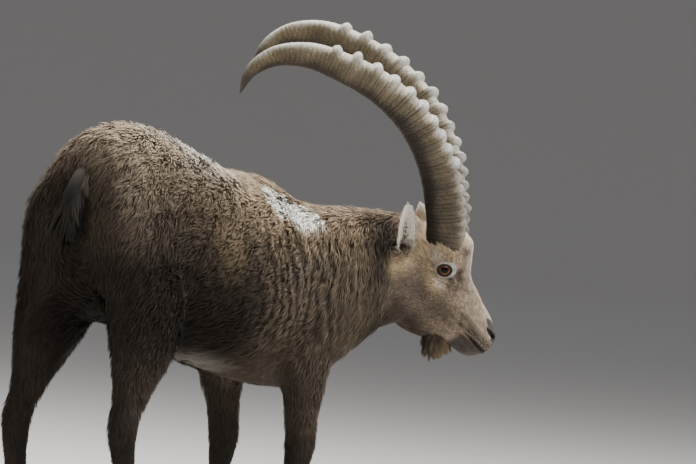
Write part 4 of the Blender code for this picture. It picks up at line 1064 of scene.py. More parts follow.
def grow_layer(flesh, weights, layer, seed):
    """One layer's tufts over part of the skin, as arrays for each piece."""
    part, count, spacing, path, (long_scale, wide_scale, rise_scale), tone = layer
    chosen, mix = rooted(flesh, weights, count, SEED + seed)
    root = at_roots(flesh, flesh["spots"], chosen, mix)
    normal = unit(at_roots(flesh, flesh["normals"], chosen, mix))
    lie = along_skin(at_roots(flesh, flesh["lie"], chosen, mix), normal)
    depth = at_roots(flesh, flesh["depth"], chosen, mix)
    label = flesh["label"][flesh["triangles"][chosen, 0]]
    uv = (flesh["uv"][chosen] * mix[:, :, None]).sum(axis=1)
    length, width, rise = coat_sizes(root, normal, label, depth)
    length, width, rise = length * long_scale, width * wide_scale, rise * rise_scale
    rng = np.random.default_rng(SEED * 7 + seed)
    owner, centres = clumped(root, spacing, SEED * 3 + seed)
    clump_long = rng.uniform(*CLUMP_LONG, len(centres))
    clump_tone = rng.normal(1.0, CLUMP_TONES.get(part, 0.10), len(centres))
    clump_turn = rng.normal(0.0, CLUMP_TURN, len(centres))
    length = length * clump_long[owner] * rng.uniform(*TUFT_LONG, count)
    ragged = np.clip(1 + 0.16 * waves(root, 0.022, 17), 0.6, 1.25)
    rise = rise * (0.45 + 0.55 * clump_long[owner]) * rng.uniform(*TUFT_RISE, count) * ragged
    turn = clump_turn[owner] + rng.normal(0.0, TUFT_TURN, count) + WAVE_TURN * waves(root, 0.050, 18)
    lie = along_skin(lie + np.cross(normal, lie) * turn[:, None], normal)
    strength, ridge, sideways = corrugated(root)
    rise = rise * (1 + strength * (0.22 * ridge - 0.18))
    tip = root + lie * length[:, None] + normal * rise[:, None]
    own = centres[owner]
    goal = root[own] + lie[own] * length[own, None] + normal[own] * rise[own, None]
    gathered = 1.0 if part != "body" else 0.55 + 0.45 * np.clip(strength + on_withers(root), 0, 1)
    pull = limited((goal - tip) * (rng.uniform(*GATHERED, count) * gathered)[:, None], length)
    pull = pull + (RIDGE_WAY - normal * (normal @ RIDGE_WAY)[:, None]) * (strength * sideways)[:, None]
    tint = marks(root + lie * (length * SHOWN)[:, None], normal, label)
    shade = clump_tone[owner] * rng.normal(1.0, TUFT_TONE, count) * tone
    # Painted shade in the grooves between the neck's hair ridges, paler on their crests.
    shade = shade * (1 + strength * (0.50 * ridge - 0.15))
    pale = np.clip(rng.normal(0.0, PALE_TUFTS, count), 0, 1)
    tint = mixed(tint * shade[:, None], tint * PALE_TONE, pale)
    side = in_head(root)[:, 1] > 0 if part == "head" else on_trunk(root - SHIFT)[1] > 0
    fields = (root, normal, lie, length, width, rise, pull, tint, uv)
    return {
        name: tuft_arrays(*(field[mine] for field in fields), path)
        for name, mine in grouped(part, root, label, side).items()
    }


def merged(kinds):
    """Joins sets of tuft arrays."""
    starts = np.cumsum([0] + [len(kind[0]) for kind in kinds[:-1]])
    columns = [list(column) for column in zip(*kinds)]
    columns[1] = [triangles + start for triangles, start in zip(columns[1], starts)]
    return tuple(np.concatenate(column) for column in columns)


def grow_coat(flesh):
    """Tufts over the whole skin, as one object for each region and side."""
    spots = flesh["spots"]
    _, head, _, _, shank = shares(spots)
    ear = np.isin(flesh["label"], EAR_LABELS).astype(float)
    hairy = grown_skin(spots)
    weights = {
        "body": hairy * (1 - head) * (1 - shank) * (1 - ear),
        "head": hairy * head * (1 - ear) * face_density(spots),
        "legs": hairy * shank * (1 - head),
        "ears": ear,
    }
    pieces = {}
    for seed, layer in enumerate(LAYERS):
        for name, arrays in grow_layer(flesh, weights[layer[0]], layer, seed).items():
            pieces.setdefault(name, []).append(arrays)
    return [coat_piece(name, merged(kinds)) for name, kinds in pieces.items()]


# The coat's regions by nodes; the rump's hair is split by height
HINDQUARTERS = ("rump", "gaskin_right", "gaskin_left", "hind_shank_right", "hind_shank_left")
REGIONS = {
    "rump": HINDQUARTERS,
    "thigh": HINDQUARTERS,
    "barrel": ("barrel",),
    "chest": ("chest", "forearm_right", "forearm_left", "fore_shank_right", "fore_shank_left"),
    "neck": ("neck", "head", "ear_right", "ear_left"),
}
CROUP_SPLIT = 0.70


def grouped(part, root, label, side):
    """Splits a layer's tufts into named pieces that stay under the limit."""
    regions = {part: True}
    if part == "body":
        regions = {name: np.isin(label, [FLESH.index(n) for n in nodes]) for name, nodes in REGIONS.items()}
        high = root[:, 2] > CROUP_SPLIT
        regions["rump"] &= high
        regions["thigh"] &= ~high
    parts = {
        "coat_%s_%s" % (region, side_name): inside & on_side
        for side_name, on_side in (("right", ~side), ("left", side))
        for region, inside in regions.items()
    }
    return {name: mine for name, mine in parts.items() if mine.any()}


# Bands and tubes of rings
def full_turn(steps):
    """Angles at even steps round a circle."""
    return np.linspace(0, 2 * math.pi, steps, endpoint=False)


def grid(rows, around, joined=False):
    """The numbers of each cell's corners on a band of rings: two of one ring and two of the next."""
    i, k = np.meshgrid(np.arange(rows - (not joined)), np.arange(around), indexing="ij")
    m, n = (i + 1) % rows, (k + 1) % around
    return i * around + k, i * around + n, m * around + k, m * around + n


def tube(rings):
    """Vertices and triangles of a closed tube through rings of points."""
    rows, around = rings.shape[:2]
    a, b, c, d = grid(rows, around)
    sides = np.stack([a, b, d, a, d, c], axis=-1).reshape(-1, 3)
    spots = np.vstack([rings.reshape(-1, 3), rings[0].mean(axis=0), rings[-1].mean(axis=0)])
    j = np.arange(around)
    m = (j + 1) % around
    last = (rows - 1) * around
    start, end = j * 0 + len(spots) - 2, j * 0 + len(spots) - 1
    return spots, np.concatenate([sides, np.stack([start, m, j], 1), np.stack([end, last + j, last + m], 1)])


def outward(spots, triangles):
    """Turns a closed surface's triangles to face out."""
    corners = spots[triangles]
    volume = (np.cross(corners[:, 0], corners[:, 1]) * corners[:, 2]).sum()
    return triangles if volume > 0 else triangles[:, ::-1]


# Horns, in mm: the line and knobs of the solids, with finer rings and sides
HORN_LINE = np.array(
    [
        (-28, 38, 14), (-51, 41, 40), (-125, 62, 94), (-205, 90, 133), (-297, 120, 151), (-387, 146, 141),
        (-468, 164, 108), (-540, 173, 61), (-579, 173, 3), (-584, 167, -56), (-562, 160, -103),
    ],
    float,
)
LEFT_HORN_LEAN = np.array((-24.0, 0.0, 3.0))
HORN_DEPTH, HORN_WIDTH = 82.0, 64.0
HORN_KNOBS, KNOB_HEIGHT = 16, 11.0
HORN_ROWS, HORN_SIDES = 640, 56
THINNEST = 1.2
SOLIDS_SEED = 7
# Fine relief: waves along the horn and dark lines cut across it, in steps of which the horn has RELIEF_LENGTH
RELIEF_LENGTH = 1010.0
RING_WAVES, RING_PITCH = 26, (3.0, 16.0)
LINE_FROM, LINE_STEP, LINE_DEPTH, LINE_WIDTH = 12.0, (5.0, 19.0), (0.4, 1.0), 1.7


def curve_through(keys, values, at):
    """A cubic curve through values given at rising keys, read at the places in at."""
    slopes = np.gradient(values, keys, axis=0)
    low = np.clip(np.searchsorted(keys, at) - 1, 0, len(keys) - 2)
    span = (keys[low + 1] - keys[low])[:, None]
    t = (at - keys[low])[:, None] / span
    return (
        values[low] * (2 * t**3 - 3 * t**2 + 1)
        + values[low + 1] * (3 * t**2 - 2 * t**3)
        + slopes[low] * span * (t**3 - 2 * t**2 + t)
        + slopes[low + 1] * span * (t**3 - t**2)
    )


def knob_table(draws):
    """Share of the length, half length and height in mm of each knob, drawn as the solids' were."""
    places, at = [], 0.060
    for i in range(HORN_KNOBS):
        places.append(at)
        at += 0.027 + 0.034 * (i / (HORN_KNOBS - 1)) + draws.uniform(-0.002, 0.002)
    table = []
    for i, place in enumerate(places):
        strength = 0.45 + 0.55 * min(i / 6, 1.0)
        strength *= draws.uniform(0.75, 1.05) * (1.25 if i % 4 == 2 else 1.0)
        table.append((place, 0.0112 + 0.0035 * min(i / 10, 1.0), KNOB_HEIGHT * strength))
    return table


def horn_line(side, at):
    """Points of a horn's middle line in mm in the head's frame, as if on the left."""
    keys = np.concatenate([[0], np.cumsum(np.linalg.norm(np.diff(HORN_LINE, axis=0), axis=1))])
    keys /= keys[-1]
    points = HORN_LINE
    if side > 0:
        points = points + np.outer(np.clip((keys - 0.3) / 0.4, 0, 1), LEFT_HORN_LEAN)
    return curve_through(keys, points, at)


def horn_edge(points):
    """How far out from the root of the nearer horn each point lies: 1 at the horn's surface."""
    local = in_head(points)
    share = np.full(len(points), 9.0)
    for side in (1, -1):
        middle = horn_line(side, np.array((0.0, 0.04)))
        way = unit(middle[1] - middle[0])
        lateral = unit(np.array((0.0, 1.0, 0.0)) - way * way[1])
        offset = local * (1, side, 1) - middle[0]
        over, fore = offset @ lateral, offset @ np.cross(lateral, way)
        edge = np.hypot(over / (HORN_WIDTH / 2), fore / (HORN_DEPTH / 2))
        share = np.minimum(share, edge + 8 * smooth(np.abs(offset @ way - 62), 36, 50))
    return share


def horn_relief(arc, rng):
    """Waves and cut lines of a horn, at places in steps along it."""
    ring_waves, lines = np.zeros_like(arc), np.zeros_like(arc)
    for _ in range(RING_WAVES):
        pitch = rng.uniform(*RING_PITCH)
        swing = np.sin(arc * 2 * math.pi / pitch + rng.uniform(0, 6.28))
        ring_waves += swing * (pitch / RING_PITCH[1]) ** 0.5
    ring_waves /= 5.0
    place = LINE_FROM
    while place < RELIEF_LENGTH:
        deep = rng.uniform(*LINE_DEPTH)
        lines = np.maximum(lines, deep * np.exp(-(((arc - place) / LINE_WIDTH) ** 2)))
        place += rng.uniform(*LINE_STEP)
    return ring_waves, lines


def horn_mesh(side, knobs):
    """A horn's sheath: vertices, triangles, colours and texture places."""
    at = np.linspace(0, 1, HORN_ROWS) ** 0.97
    middle = horn_line(side, at)
    along = unit(horn_line(side, np.minimum(at + 0.004, 1)) - horn_line(side, np.maximum(at - 0.004, 0)))
    lateral = unit(np.array((0.0, 1.0, 0.0)) - along * along[:, 1:2])
    front = np.cross(lateral, along)
    angle = full_turn(HORN_SIDES)
    fore, across = np.cos(angle)[None], np.sin(angle)[None]
    s = at[:, None]
    depth = np.maximum(HORN_DEPTH / 2 * (1 - 0.22 * s) * np.maximum(1 - s**5, 0) ** 0.75, THINNEST)
    width = np.maximum(HORN_WIDTH / 2 * (1 - 0.30 * s) * np.maximum(1 - s**4, 0) ** 0.8, THINNEST)
    rise = np.zeros_like(s)
    between = np.ones_like(s)
    for place, half_length, height in knobs:
        gap = np.clip(np.abs(s - place) / half_length, 0, 1)
        rise = np.maximum(rise, height * (1 - gap**2) ** 0.9)
        between = np.minimum(between, np.clip(np.abs(s - place) / half_length / 1.2, 0, 1))
    x = depth * np.sign(fore) * np.abs(fore) ** np.where(fore > 0, 0.75, 1.0)
    y = width * np.sign(across) * np.abs(across) ** 0.8 * (1 + 0.12 * fore)
    lift = smooth(fore, 0.10, 0.85)
    x = x + rise * lift
    y = y * (1 + 0.22 * rise / width * smooth(fore, -0.1, 0.7))
    ring_waves, lines = horn_relief(s * RELIEF_LENGTH, np.random.default_rng(SEED + side))
    swell = 0.30 * ring_waves * smooth(1 - s, 0.02, 0.25) + 0.45 * (1 - between) * (1 - lift) - 0.55 * lines
    wobble = np.sin(angle * 3 + 1.3)[None] * 0.25 + np.sin(angle * 7)[None] * 0.12
    x = x + (swell + wobble) * fore
    y = y + (swell + wobble) * across
    rings = middle[:, None] + x[..., None] * front[:, None] + y[..., None] * lateral[:, None]
    rings[..., 1] *= side
    spots, triangles = tube(from_head(rings))
    if side < 0:
        triangles = triangles[:, ::-1]
    tint = horn_tint(s, fore, rise / KNOB_HEIGHT, lines, rings.reshape(-1, 3))
    tint = np.vstack([tint, tint[:1], tint[-1:]])
    u = np.repeat(at, HORN_SIDES) * 0.98 + 0.01
    v = np.tile(np.arange(HORN_SIDES) / HORN_SIDES, HORN_ROWS) * 0.30 + (0.02 if side > 0 else 0.52)
    places = np.stack([u, v], axis=1)
    places = np.vstack([places, places[:1], places[-1:]])[triangles]
    wide = np.ptp(places[..., 1], axis=1) > 0.2
    top = (places[..., 1] < places[..., 1].max(axis=1, keepdims=True) - 0.1) & wide[:, None]
    places[..., 1] = np.where(top, places[..., 1] + 0.30, places[..., 1])
    return spots, triangles, tint, places


# Colours of a horn from its rear round to its front, partly its own and partly painted shade behind and painted
# light in front, and of the knobs' tops, pale from wear and painted highlight, and of the tip
HORN_ROUND = (-1.0, -0.45, -0.05, 0.45, 0.75, 1.0)
HORN_TONES_LIT_AND_SHADED = np.array(
    [
        (0.026, 0.021, 0.016), (0.036, 0.028, 0.020), (0.108, 0.085, 0.052), (0.165, 0.132, 0.082),
        (0.290, 0.258, 0.195), (0.400, 0.372, 0.310),
    ]
)
KNOB_WEAR_AND_HIGHLIGHT = np.array((0.400, 0.395, 0.370))
HORN_GREY = np.array((0.038, 0.034, 0.031))


def horn_tint(s, fore, rise, lines, points):
    """Dark behind, olive tan at the side and pale in front, partly as painted shade and painted light, with
    dark lines between the rings.
    """
    shape = (s * fore).shape
    patch = waves(points, 60, 21).reshape(shape)
    fine = waves(points, 7, 22).reshape(shape)
    bright = smooth(s, 0.25, 0.60)
    round_at = fore + 0.16 * patch + 0.07 * fine + 0.20 * bright - 0.14 * (1 - bright)
    colour = ramp(round_at.ravel(), HORN_ROUND, HORN_TONES_LIT_AND_SHADED)

    def flat(field):
        return (field + np.zeros(shape)).ravel()

    # The knobs' front tops are paled, partly wear and partly painted highlight.
    colour = mixed(colour, KNOB_WEAR_AND_HIGHLIGHT, flat(0.55 * smooth(rise * smooth(fore, 0.3, 0.9), 0.25, 0.9)))
    colour = colour * flat(1 - 0.35 * (1 - smooth(s, 0.12, 0.45)))[:, None]
    dark = 1 - 0.72 * lines * (1 - smooth(s, 0.50, 0.75)) * (1 - 0.5 * smooth(fore, 0.5, 1.0))
    dark = dark * (1 - 0.45 * (1 - smooth(s, 0.0, 0.10))) * (1 + 0.10 * fine + 0.08 * patch)
    colour = colour * flat(dark)[:, None]
    return mixed(colour, HORN_GREY, flat(0.85 * smooth(s, 0.88, 0.97)))


def make_horns():
    draws = random.Random(SOLIDS_SEED)
    made = []
    for side_name, side in SIDES:
        horn = new_piece("horn_sheath_" + side_name, *horn_mesh(side, knob_table(draws)))
        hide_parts("horn_" + side_name)
        made.append(horn)
    return made


# Eyes
EYE_ROWS, EYE_SIDES = 90, 120
IRIS_REACH, CORNEA_REACH = 38.0, 42.0
AMBER = np.array((0.150, 0.064, 0.024))
IRIS_DARK_AND_LID_SHADE = np.array((0.060, 0.024, 0.010))
PUPIL = np.array((0.003, 0.003, 0.004))
PUPIL_HALF = (8.4, 6.0)
WHITE_OF_EYE = np.array((0.060, 0.045, 0.038))


def make_eyes():
    """Eyeballs with a bulging cornea, an iris with spokes and a level pupil, the iris's upper part darkened as
    painted shade of the lid.
    """
    made = []
    for side_name, side in SIDES:
        lean = np.linspace(0, 1, EYE_ROWS)[:, None] ** 1.35 * math.pi
        turn = full_turn(EYE_SIDES)[None]
        radius = EYE_RADIUS - 0.25 + 0.9 * (1 - smooth(np.degrees(lean), 0, CORNEA_REACH))
        across = radius * np.sin(lean) * np.cos(turn)
        over = radius * np.sin(lean) * np.sin(turn)
        out = radius * np.cos(lean) + 0 * turn
        local = np.stack([across, over, out], axis=-1).reshape(-1, 3)
        spots = from_head(EYE_MM * (1, side, 1) + local @ eye_axes(side).T)
        a, b, c, d = grid(EYE_ROWS, EYE_SIDES)
        triangles = [np.stack([a, c, d], -1).reshape(-1, 3), np.stack([a, d, b], -1)[1:].reshape(-1, 3)]
        triangles = outward(spots - spots.mean(axis=0), np.concatenate(triangles))
        far = np.degrees(lean + 0 * turn).ravel()
        flat = np.stack([across.ravel(), over.ravel()], axis=1)
        spokes = np.sin(turn * 37 + 2 * np.sin(turn * 5)) * 0.5 + np.sin(turn * 61) * 0.3
        spokes = np.repeat(spokes, EYE_ROWS, axis=0).ravel()
        # The iris darkens at its rim and along spokes, and towards its top as painted shade of the upper lid.
        iris = AMBER + (IRIS_DARK_AND_LID_SHADE - AMBER) * np.clip(
            0.25 + 0.30 * spokes + 0.5 * smooth(far, 29, IRIS_REACH) + 0.9 * smooth(flat[:, 1], -1, 6), 0, 1
        )[:, None]
        slot = (np.abs(flat / PUPIL_HALF) ** 2.6).sum(axis=1) ** (1 / 2.6)
        tint = mixed(iris, PUPIL, 1 - smooth(slot, 0.92, 1.08))
        tint = mixed(tint, WHITE_OF_EYE, smooth(far, IRIS_REACH, IRIS_REACH + 3))
        places = np.stack([0.5 + local[:, 0] / 80, 0.5 + local[:, 1] / 80], axis=1)[triangles]
        ball = new_piece("eyeball_" + side_name, spots, triangles, tint, places)
        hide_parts("eye_" + side_name)
        made.append(ball)
    return made


# The lids' section: how far out from the opening, how high over the eyeball in mm, and how pale
LID_SECTION = np.array(
    (
        (0.0, -0.6, 0.0), (-0.5, 0.3, 0.0), (0.0, 1.1, 0.0), (0.9, 1.6, 0.0), (1.7, 1.5, 0.1),
        (2.3, 1.1, 0.9), (3.2, 1.5, 1.0), (4.2, 1.7, 0.8), (5.2, 1.2, 0.5), (5.6, 0.0, 0.4),
        (3.0, -1.2, 0.0),
    )
)
LID_DARK, LID_PALE = np.array((0.010, 0.008, 0.009)), np.array((0.460, 0.440, 0.410))
LID_STEPS = 160


def make_lids():
    """A dark rounded rim round each eye's opening with a pale fold outside it."""
    made = []
    around, sides = LID_STEPS, len(LID_SECTION)
    turn = full_turn(around)
    round_way = np.stack([np.cos(turn), np.sin(turn)], axis=1)
    front = 0.55 + 0.45 * smooth(np.repeat(np.cos(turn), sides), -0.6, 0.6)
    for side_name, side in SIDES:
        rings = []
        for out, over, _ in LID_SECTION:
            flat = round_way * (LID_OPENING[0] + out, LID_OPENING[1] + out)
            flat[:, 1] -= 0.8 * np.clip(np.sin(turn), 0, 1) * (1 - out / 6)
            reach = EYE_RADIUS + 0.3 + over + 0.45 * np.clip(out, 0, 6)
            z = np.sqrt(np.maximum(reach**2 - (flat**2).sum(axis=1), 1.0))
            rings.append(np.column_stack([flat, z]))
        rings = np.array(rings).transpose(1, 0, 2)
        spots = from_head(EYE_MM * (1, side, 1) + rings.reshape(-1, 3) @ eye_axes(side).T)
        a, b, c, d = grid(around, sides, joined=True)
        triangles = outward(spots - spots.mean(axis=0), np.stack([a, b, d, a, d, c], axis=-1).reshape(-1, 3))
        tint = mixed(plain(LID_DARK, len(spots)), LID_PALE, np.tile(LID_SECTION[:, 2], around) * front)
        places = np.stack([a // sides / around, a % sides / sides], axis=-1).reshape(-1, 2)[triangles]
        made.append(new_piece("lids_" + side_name, spots, triangles, tint, places))
    return made


# Hooves
HOOF_VOXEL = 0.0016
GROWTH_PITCH, GROWTH_HEIGHT, GROWTH_FROM = 0.0042, 0.00022, 0.006
HOOF_DARK = np.array((0.020, 0.017, 0.015))
HOOF_PALE = np.array((0.085, 0.070, 0.056))


def make_hooves():
    """Rounded copies of the claws and dewclaws."""
    made = []
    for name in sorted(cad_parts):
        if "claw" not in name:
            continue
        piece = new_object("horny_" + name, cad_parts[name].data.copy())
        remesh(piece, HOOF_VOXEL)
        spots, triangles = mesh_arrays(piece.data)
        edges = edges_of(triangles)
        flat = spots[:, 2] < HOOF_VOXEL
        soft = relaxed(spots, edges, 14)
        soft[flat, 2] = np.maximum(spots[flat, 2], 0.0)
        normals = vertex_normals(soft, triangles)
        growth = np.sin(soft[:, 2] * 2 * math.pi / GROWTH_PITCH) * GROWTH_HEIGHT * (soft[:, 2] > GROWTH_FROM)
        soft = soft + normals * growth[:, None]
        soft[:, 2] = np.maximum(soft[:, 2], 0.0)
        share = smooth(waves(soft, 0.02, 31), -1.0, 1.4) * 0.5 + 0.5 * (1 - smooth(soft[:, 2], 0.0, 0.012))
        tint = HOOF_DARK + (HOOF_PALE - HOOF_DARK) * share[:, None]
        box = np.ptp(soft, axis=0).max()
        places = ((soft - soft.min(axis=0)) / box * 0.9 + 0.05)[:, (0, 2)][triangles]
        old = piece.data
        piece.data = mesh_from(piece.name, soft, triangles, tint, places)
        bpy.data.meshes.remove(old)
        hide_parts(name)
        made.append(piece)
    return made


# Beard and tail: cores from the solids' numbers, with long tufts that hang from them
BEARD_CORE = [(104, -92, 21, 31), (107, -112, 19, 29), (110, -124, 12, 20), (112, -130, 3, 5)]
TAIL_CORE = [
    (-0.524, 0.828, 0.010, 0.006), (-0.552, 0.818, 0.013, 0.008), (-0.574, 0.795, 0.015, 0.010),
    (-0.592, 0.768, 0.016, 0.011), (-0.605, 0.735, 0.014, 0.010), (-0.605, 0.712, 0.004, 0.004),
]
BEARD_TUFTS, TAIL_TUFTS = 2600, 2600
CORE_SIDES, CORE_TONE = 24, 0.6


def trunk_point(along, side, height):
    """World points from distances forward of the withers, to the left and up."""
    x = np.interp(along, SPINE_ALONG, SPINE_X)
    y = np.interp(along, SPINE_ALONG, SPINE_Y)
    turn = np.interp(along, SPINE_ALONG, SPINE_TURN)
    return np.stack([x - np.sin(turn) * side, y + np.cos(turn) * side, height + 0 * x], axis=-1) + SHIFT


def hair_piece(name, node, spots, triangles, ways, lengths, colours, width, count, seed):
    """A core with long tufts hanging from it as one piece, standing for a node."""
    rng = np.random.default_rng(seed)
    triangles = outward(spots - spots.mean(axis=0), triangles)
    core_uv = np.full((len(triangles), 3, 2), 0.01) + (spots[triangles][..., (0, 2)] % 0.05)
    normals = vertex_normals(spots, triangles)
    flesh = {"spots": spots, "triangles": triangles}
    chosen, mix = rooted(flesh, np.ones(len(spots)), count, seed)
    root = at_roots(flesh, spots, chosen, mix)
    normal = unit(at_roots(flesh, normals, chosen, mix))
    owner, centres = clumped(root, 12.0, seed)
    stray = rng.normal(0, 0.05, (count, 3))
    lie = unit(ways(root, normal) + stray + rng.normal(0, 0.10, (len(centres), 3))[owner])
    normal = unit(normal - lie * (normal * lie).sum(axis=1)[:, None] + 1e-4)
    length = lengths(root) * rng.uniform(0.72, 1.08, count) * rng.uniform(0.85, 1.1, len(centres))[owner]
    rise = 0.10 * length * rng.uniform(0.2, 1.0, count)
    own = centres[owner]
    tip = root + lie * length[:, None]
    pull = (root[own] + lie[own] * length[own, None] - tip) * rng.uniform(0.3, 0.7, count)[:, None]
    pull = limited(pull, length)
    tint = colours(root) * rng.normal(1.0, 0.14, count)[:, None]
    uv = 0.06 + rng.uniform(0, 0.9, (count, 2))
    width = width * rng.uniform(0.7, 1.2, count)
    hair, faces, tints, places, facing = tuft_arrays(
        root, normal, lie, length, width, rise, pull, tint, uv, "long", (0.6, 0.9, 1.3)
    )
    piece = new_piece(
        name,
        np.vstack([spots, hair]),
        np.vstack([triangles, faces + len(spots)]),
        np.vstack([colours(spots) * CORE_TONE, tints]),
        np.concatenate([core_uv, places[faces]]),
        np.vstack([normals, facing]),
    )
    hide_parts(node)
    return piece


def make_beard():
    turn = full_turn(CORE_SIDES)
    rings = []
    for along, height, half_width, half_depth in BEARD_CORE:
        x, y = along + 0.8 * half_depth * np.cos(turn), 0.8 * half_width * np.sin(turn)
        rings.append(from_head(np.stack([x, y, height + 0 * turn], 1)))
    spots, triangles = tube(np.array(rings))

    def ways(root, normal):
        ahead = np.clip((in_head(root)[:, 0] - 104) / 30, -1, 1)
        return DOWN + HEAD_AXES[:, 0] * (0.05 + 0.40 * ahead)[:, None] + normal * 0.22

    def lengths(root):
        return (42 - 14 * np.abs((in_head(root)[:, 0] - 104) / 30)) * MM

    def colours(root):
        return mixed(plain(DARK_BROWN * 1.2, len(root)), GOLD, 0.30 * smooth(in_head(root)[:, 0], 96, 130))

    grown = (ways, lengths, colours, 0.0019, BEARD_TUFTS, SEED + 41)
    return hair_piece("beard_hair", "beard", spots, triangles, *grown)


def make_tail():
    turn = full_turn(CORE_SIDES)
    centres = [trunk_point(np.array(along), 0.0, height) for along, height, _, _ in TAIL_CORE]
    rings = []
    for i, (along, height, half_width, half_depth) in enumerate(TAIL_CORE):
        run = unit(centres[min(i + 1, len(centres) - 1)] - centres[max(i - 1, 0)])
        side = trunk_point(np.array(along), 1.0, height) - centres[i]
        over = np.outer(half_depth * np.sin(turn), np.cross(run, side))
        rings.append(centres[i] + np.outer(half_width * np.cos(turn), side) + over)
    spots, triangles = tube(np.array(rings))

    def ways(root, normal):
        high = smooth(root[:, 2], 0.80, 0.85)
        back = np.array((-1.0, -0.05, 0.0))
        return DOWN + back * (0.7 * high)[:, None] + normal * 0.12

    def lengths(root):
        return 0.062 + 0.012 * smooth(0.80 - root[:, 2], 0, 0.08)

    def colours(root):
        return mixed(plain(BLACK_BROWN, len(root)), DARK_BROWN * 1.3, smooth(root[:, 2], 0.77, 0.82))

    grown = (ways, lengths, colours, 0.0032, TAIL_TUFTS, SEED + 43)
    return hair_piece("tail_hair", "tail", spots, triangles, *grown)


# Materials
def finish(name, roughness, speckle, bump, scale, coat=0.0, shine=0.25, stretch=(1.0, 1.0, 1.0)):
    """A material that takes its colour from the pieces' tint, varied by noise, with a fine bump."""
    made = bpy.data.materials.new(name)
    made.use_nodes = True
    nodes, links = made.node_tree.nodes, made.node_tree.links

    def node(kind, **values):
        thing = nodes.new(kind)
        for key, value in values.items():
            thing.inputs[key.replace("_", " ")].default_value = value
        return thing

    shader = nodes["Principled BSDF"]
    shader.inputs["Roughness"].default_value = roughness
    shader.inputs["Coat Weight"].default_value = coat
    shader.inputs["Coat Roughness"].default_value = 0.03
    shader.inputs["Specular IOR Level"].default_value = shine
    tint = node("ShaderNodeVertexColor")
    tint.layer_name = "tint"
    places = node("ShaderNodeTexCoord")
    spread = node("ShaderNodeMapping", Scale=stretch)
    noise = node("ShaderNodeTexNoise", Scale=scale, Detail=5.0, Roughness=0.6)
    tone = node("ShaderNodeMapRange", From_Min=0.3, From_Max=0.7, To_Min=1.0 - speckle, To_Max=1.0 + speckle)
    varied = node("ShaderNodeVectorMath")
    varied.operation = "SCALE"
    links.new(places.outputs["Object"], spread.inputs["Vector"])
    links.new(spread.outputs["Vector"], noise.inputs["Vector"])
    links.new(noise.outputs["Fac"], tone.inputs["Value"])
    links.new(tint.outputs["Color"], varied.inputs[0])
    links.new(tone.outputs["Result"], varied.inputs["Scale"])
    links.new(varied.outputs["Vector"], shader.inputs["Base Color"])
    if bump:
        raised = node("ShaderNodeBump", Strength=0.6, Distance=bump)
        links.new(noise.outputs["Fac"], raised.inputs["Height"])
        links.new(raised.outputs["Normal"], shader.inputs["Normal"])
    return made


def dress(pieces, material):
    for piece in pieces:
        piece.data.materials.clear()
        piece.data.materials.append(material)
        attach(piece, "root")


# Floor, lights and camera
FLOOR_GREY = (0.55, 0.53, 0.51, 1.0)
FLOOR_FLAT, FLOOR_CURVE, FLOOR_SIDES = 40.0, 14.0, 96
SKY_COLOUR, SKY_STRENGTH = (0.86, 0.87, 0.90, 1.0), 0.34
# Each light's name, place, size and power, all turned to one point
LIGHTS = (
    ("key", (1.9, -4.2, 5.2), 3.0, 560.0),
    ("top", (0.8, 1.2, 6.0), 3.0, 800.0),
    ("catch", (-1.8, -4.8, 5.5), 0.8, 110.0),
)
LIT_POINT = Vector((0.0, 0.0, 0.6))
CAMERA_BEARING, CAMERA_DIP, CAMERA_ROLL = 52.0, 0.5, 5.0
CAMERA_LENS, SENSOR, CAMERA_REACH = 290.0, 36.0, 100.0
PICTURE = (696, 464)
WITHERS, WITHERS_PIXEL, WITHERS_AWAY = np.array((0.0, 0.0, 0.835)), (255, 171), 11.94


def make_floor():
    """A flat round floor that curves up into a wall far from the model, so that no view shows its edge."""
    bend = np.linspace(0, math.pi / 2, 24)
    out = np.concatenate([[1e-3, FLOOR_FLAT / 2], FLOOR_FLAT + FLOOR_CURVE * np.sin(bend)])
    high = np.concatenate([[0.0, 0.0], FLOOR_CURVE * (1 - np.cos(bend))])
    turn = full_turn(FLOOR_SIDES)
    x, y = np.outer(out, np.cos(turn)), np.outer(out, np.sin(turn))
    spots = np.stack([x, y, np.outer(high, 1 + 0 * turn)], -1)
    a, b, c, d = grid(len(out), FLOOR_SIDES)
    faces = np.stack([a, c, d, b], axis=-1).reshape(-1, 4).tolist() + [list(range(FLOOR_SIDES))]
    mesh = bpy.data.meshes.new("floor")
    mesh.from_pydata(spots.reshape(-1, 3).tolist(), [], faces)
    mesh.shade_smooth()
    floor = new_object("floor", mesh)
    made = bpy.data.materials.new("floor")
    made.use_nodes = True
    shader = made.node_tree.nodes["Principled BSDF"]
    shader.inputs["Base Color"].default_value = FLOOR_GREY
    shader.inputs["Roughness"].default_value = 0.9
    mesh.materials.append(made)


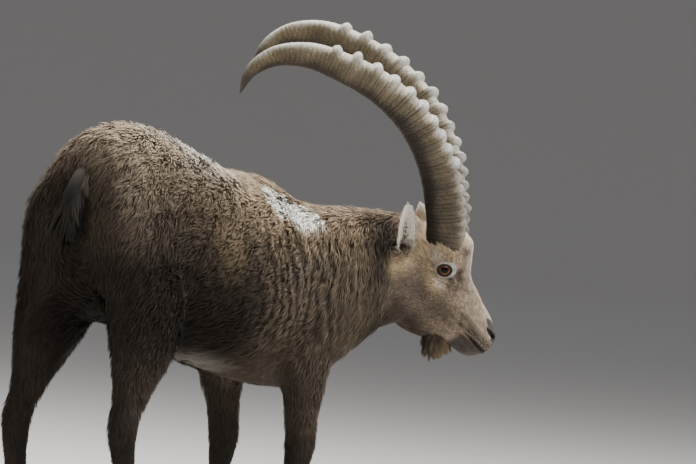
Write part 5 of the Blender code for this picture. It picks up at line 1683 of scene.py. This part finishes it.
def make_lights():
    world = bpy.data.worlds.new("studio")
    bpy.context.scene.world = world
    world.use_nodes = True
    back = world.node_tree.nodes["Background"]
    back.inputs["Color"].default_value = SKY_COLOUR
    back.inputs["Strength"].default_value = SKY_STRENGTH
    for name, place, size, power in LIGHTS:
        lamp = bpy.data.lights.new(name, "AREA")
        lamp.size = size
        lamp.energy = power
        thing = new_object(name, lamp)
        thing.location = place
        thing.rotation_euler = (LIT_POINT - Vector(place)).to_track_quat("-Z", "Y").to_euler()


def make_camera():
    """The photograph's view: the withers fall on their pixel at their distance."""
    bearing, dip, roll = (math.radians(a) for a in (CAMERA_BEARING, CAMERA_DIP, CAMERA_ROLL))
    ahead = np.array((math.sin(bearing) * math.cos(dip), math.cos(bearing) * math.cos(dip), -math.sin(dip)))
    level = np.array((math.cos(bearing), -math.sin(bearing), 0.0))
    upright = np.cross(level, ahead)
    right = level * math.cos(roll) + upright * math.sin(roll)
    up = upright * math.cos(roll) - level * math.sin(roll)
    wide, high = PICTURE
    focal = CAMERA_LENS / SENSOR * wide
    column, row = WITHERS_PIXEL
    ray = ahead + right * ((column - wide / 2) / focal) + up * ((high / 2 - row) / focal)
    place = WITHERS + SHIFT - ray * WITHERS_AWAY
    data = bpy.data.cameras.new("camera")
    data.lens = CAMERA_LENS
    data.sensor_width = SENSOR
    data.clip_end = CAMERA_REACH
    camera = new_object("camera", data)
    turn = Matrix([Vector(right), Vector(up), Vector(-ahead)]).transposed()
    camera.matrix_world = Matrix.Translation(Vector(place)) @ turn.to_4x4()
    bpy.context.scene.camera = camera


def main():
    skin, flesh = make_skin()
    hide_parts(*FLESH)
    coat = finish("coat_hair", 0.85, 0.22, 0.0, 260.0)
    hide = finish("hide", 0.90, 0.35, 0.0012, 420.0)
    horn = finish("horn_sheath", 0.55, 0.22, 0.0010, 240.0, stretch=(1.0, 1.0, 2.0))
    hoof = finish("horny_hoof", 0.45, 0.25, 0.0006, 300.0)
    eye = finish("eyeball", 0.30, 0.08, 0.0, 900.0, coat=0.22, shine=0.0)
    lid = finish("lid", 0.38, 0.20, 0.0003, 700.0)
    dress([skin], hide)
    for piece in grow_coat(flesh):
        dress([piece], coat)
    dress(make_horns(), horn)
    dress(make_eyes(), eye)
    dress(make_lids(), lid)
    dress(make_hooves(), hoof)
    dress([make_beard(), make_tail()], coat)
    make_floor()
    make_lights()
    make_camera()


main()
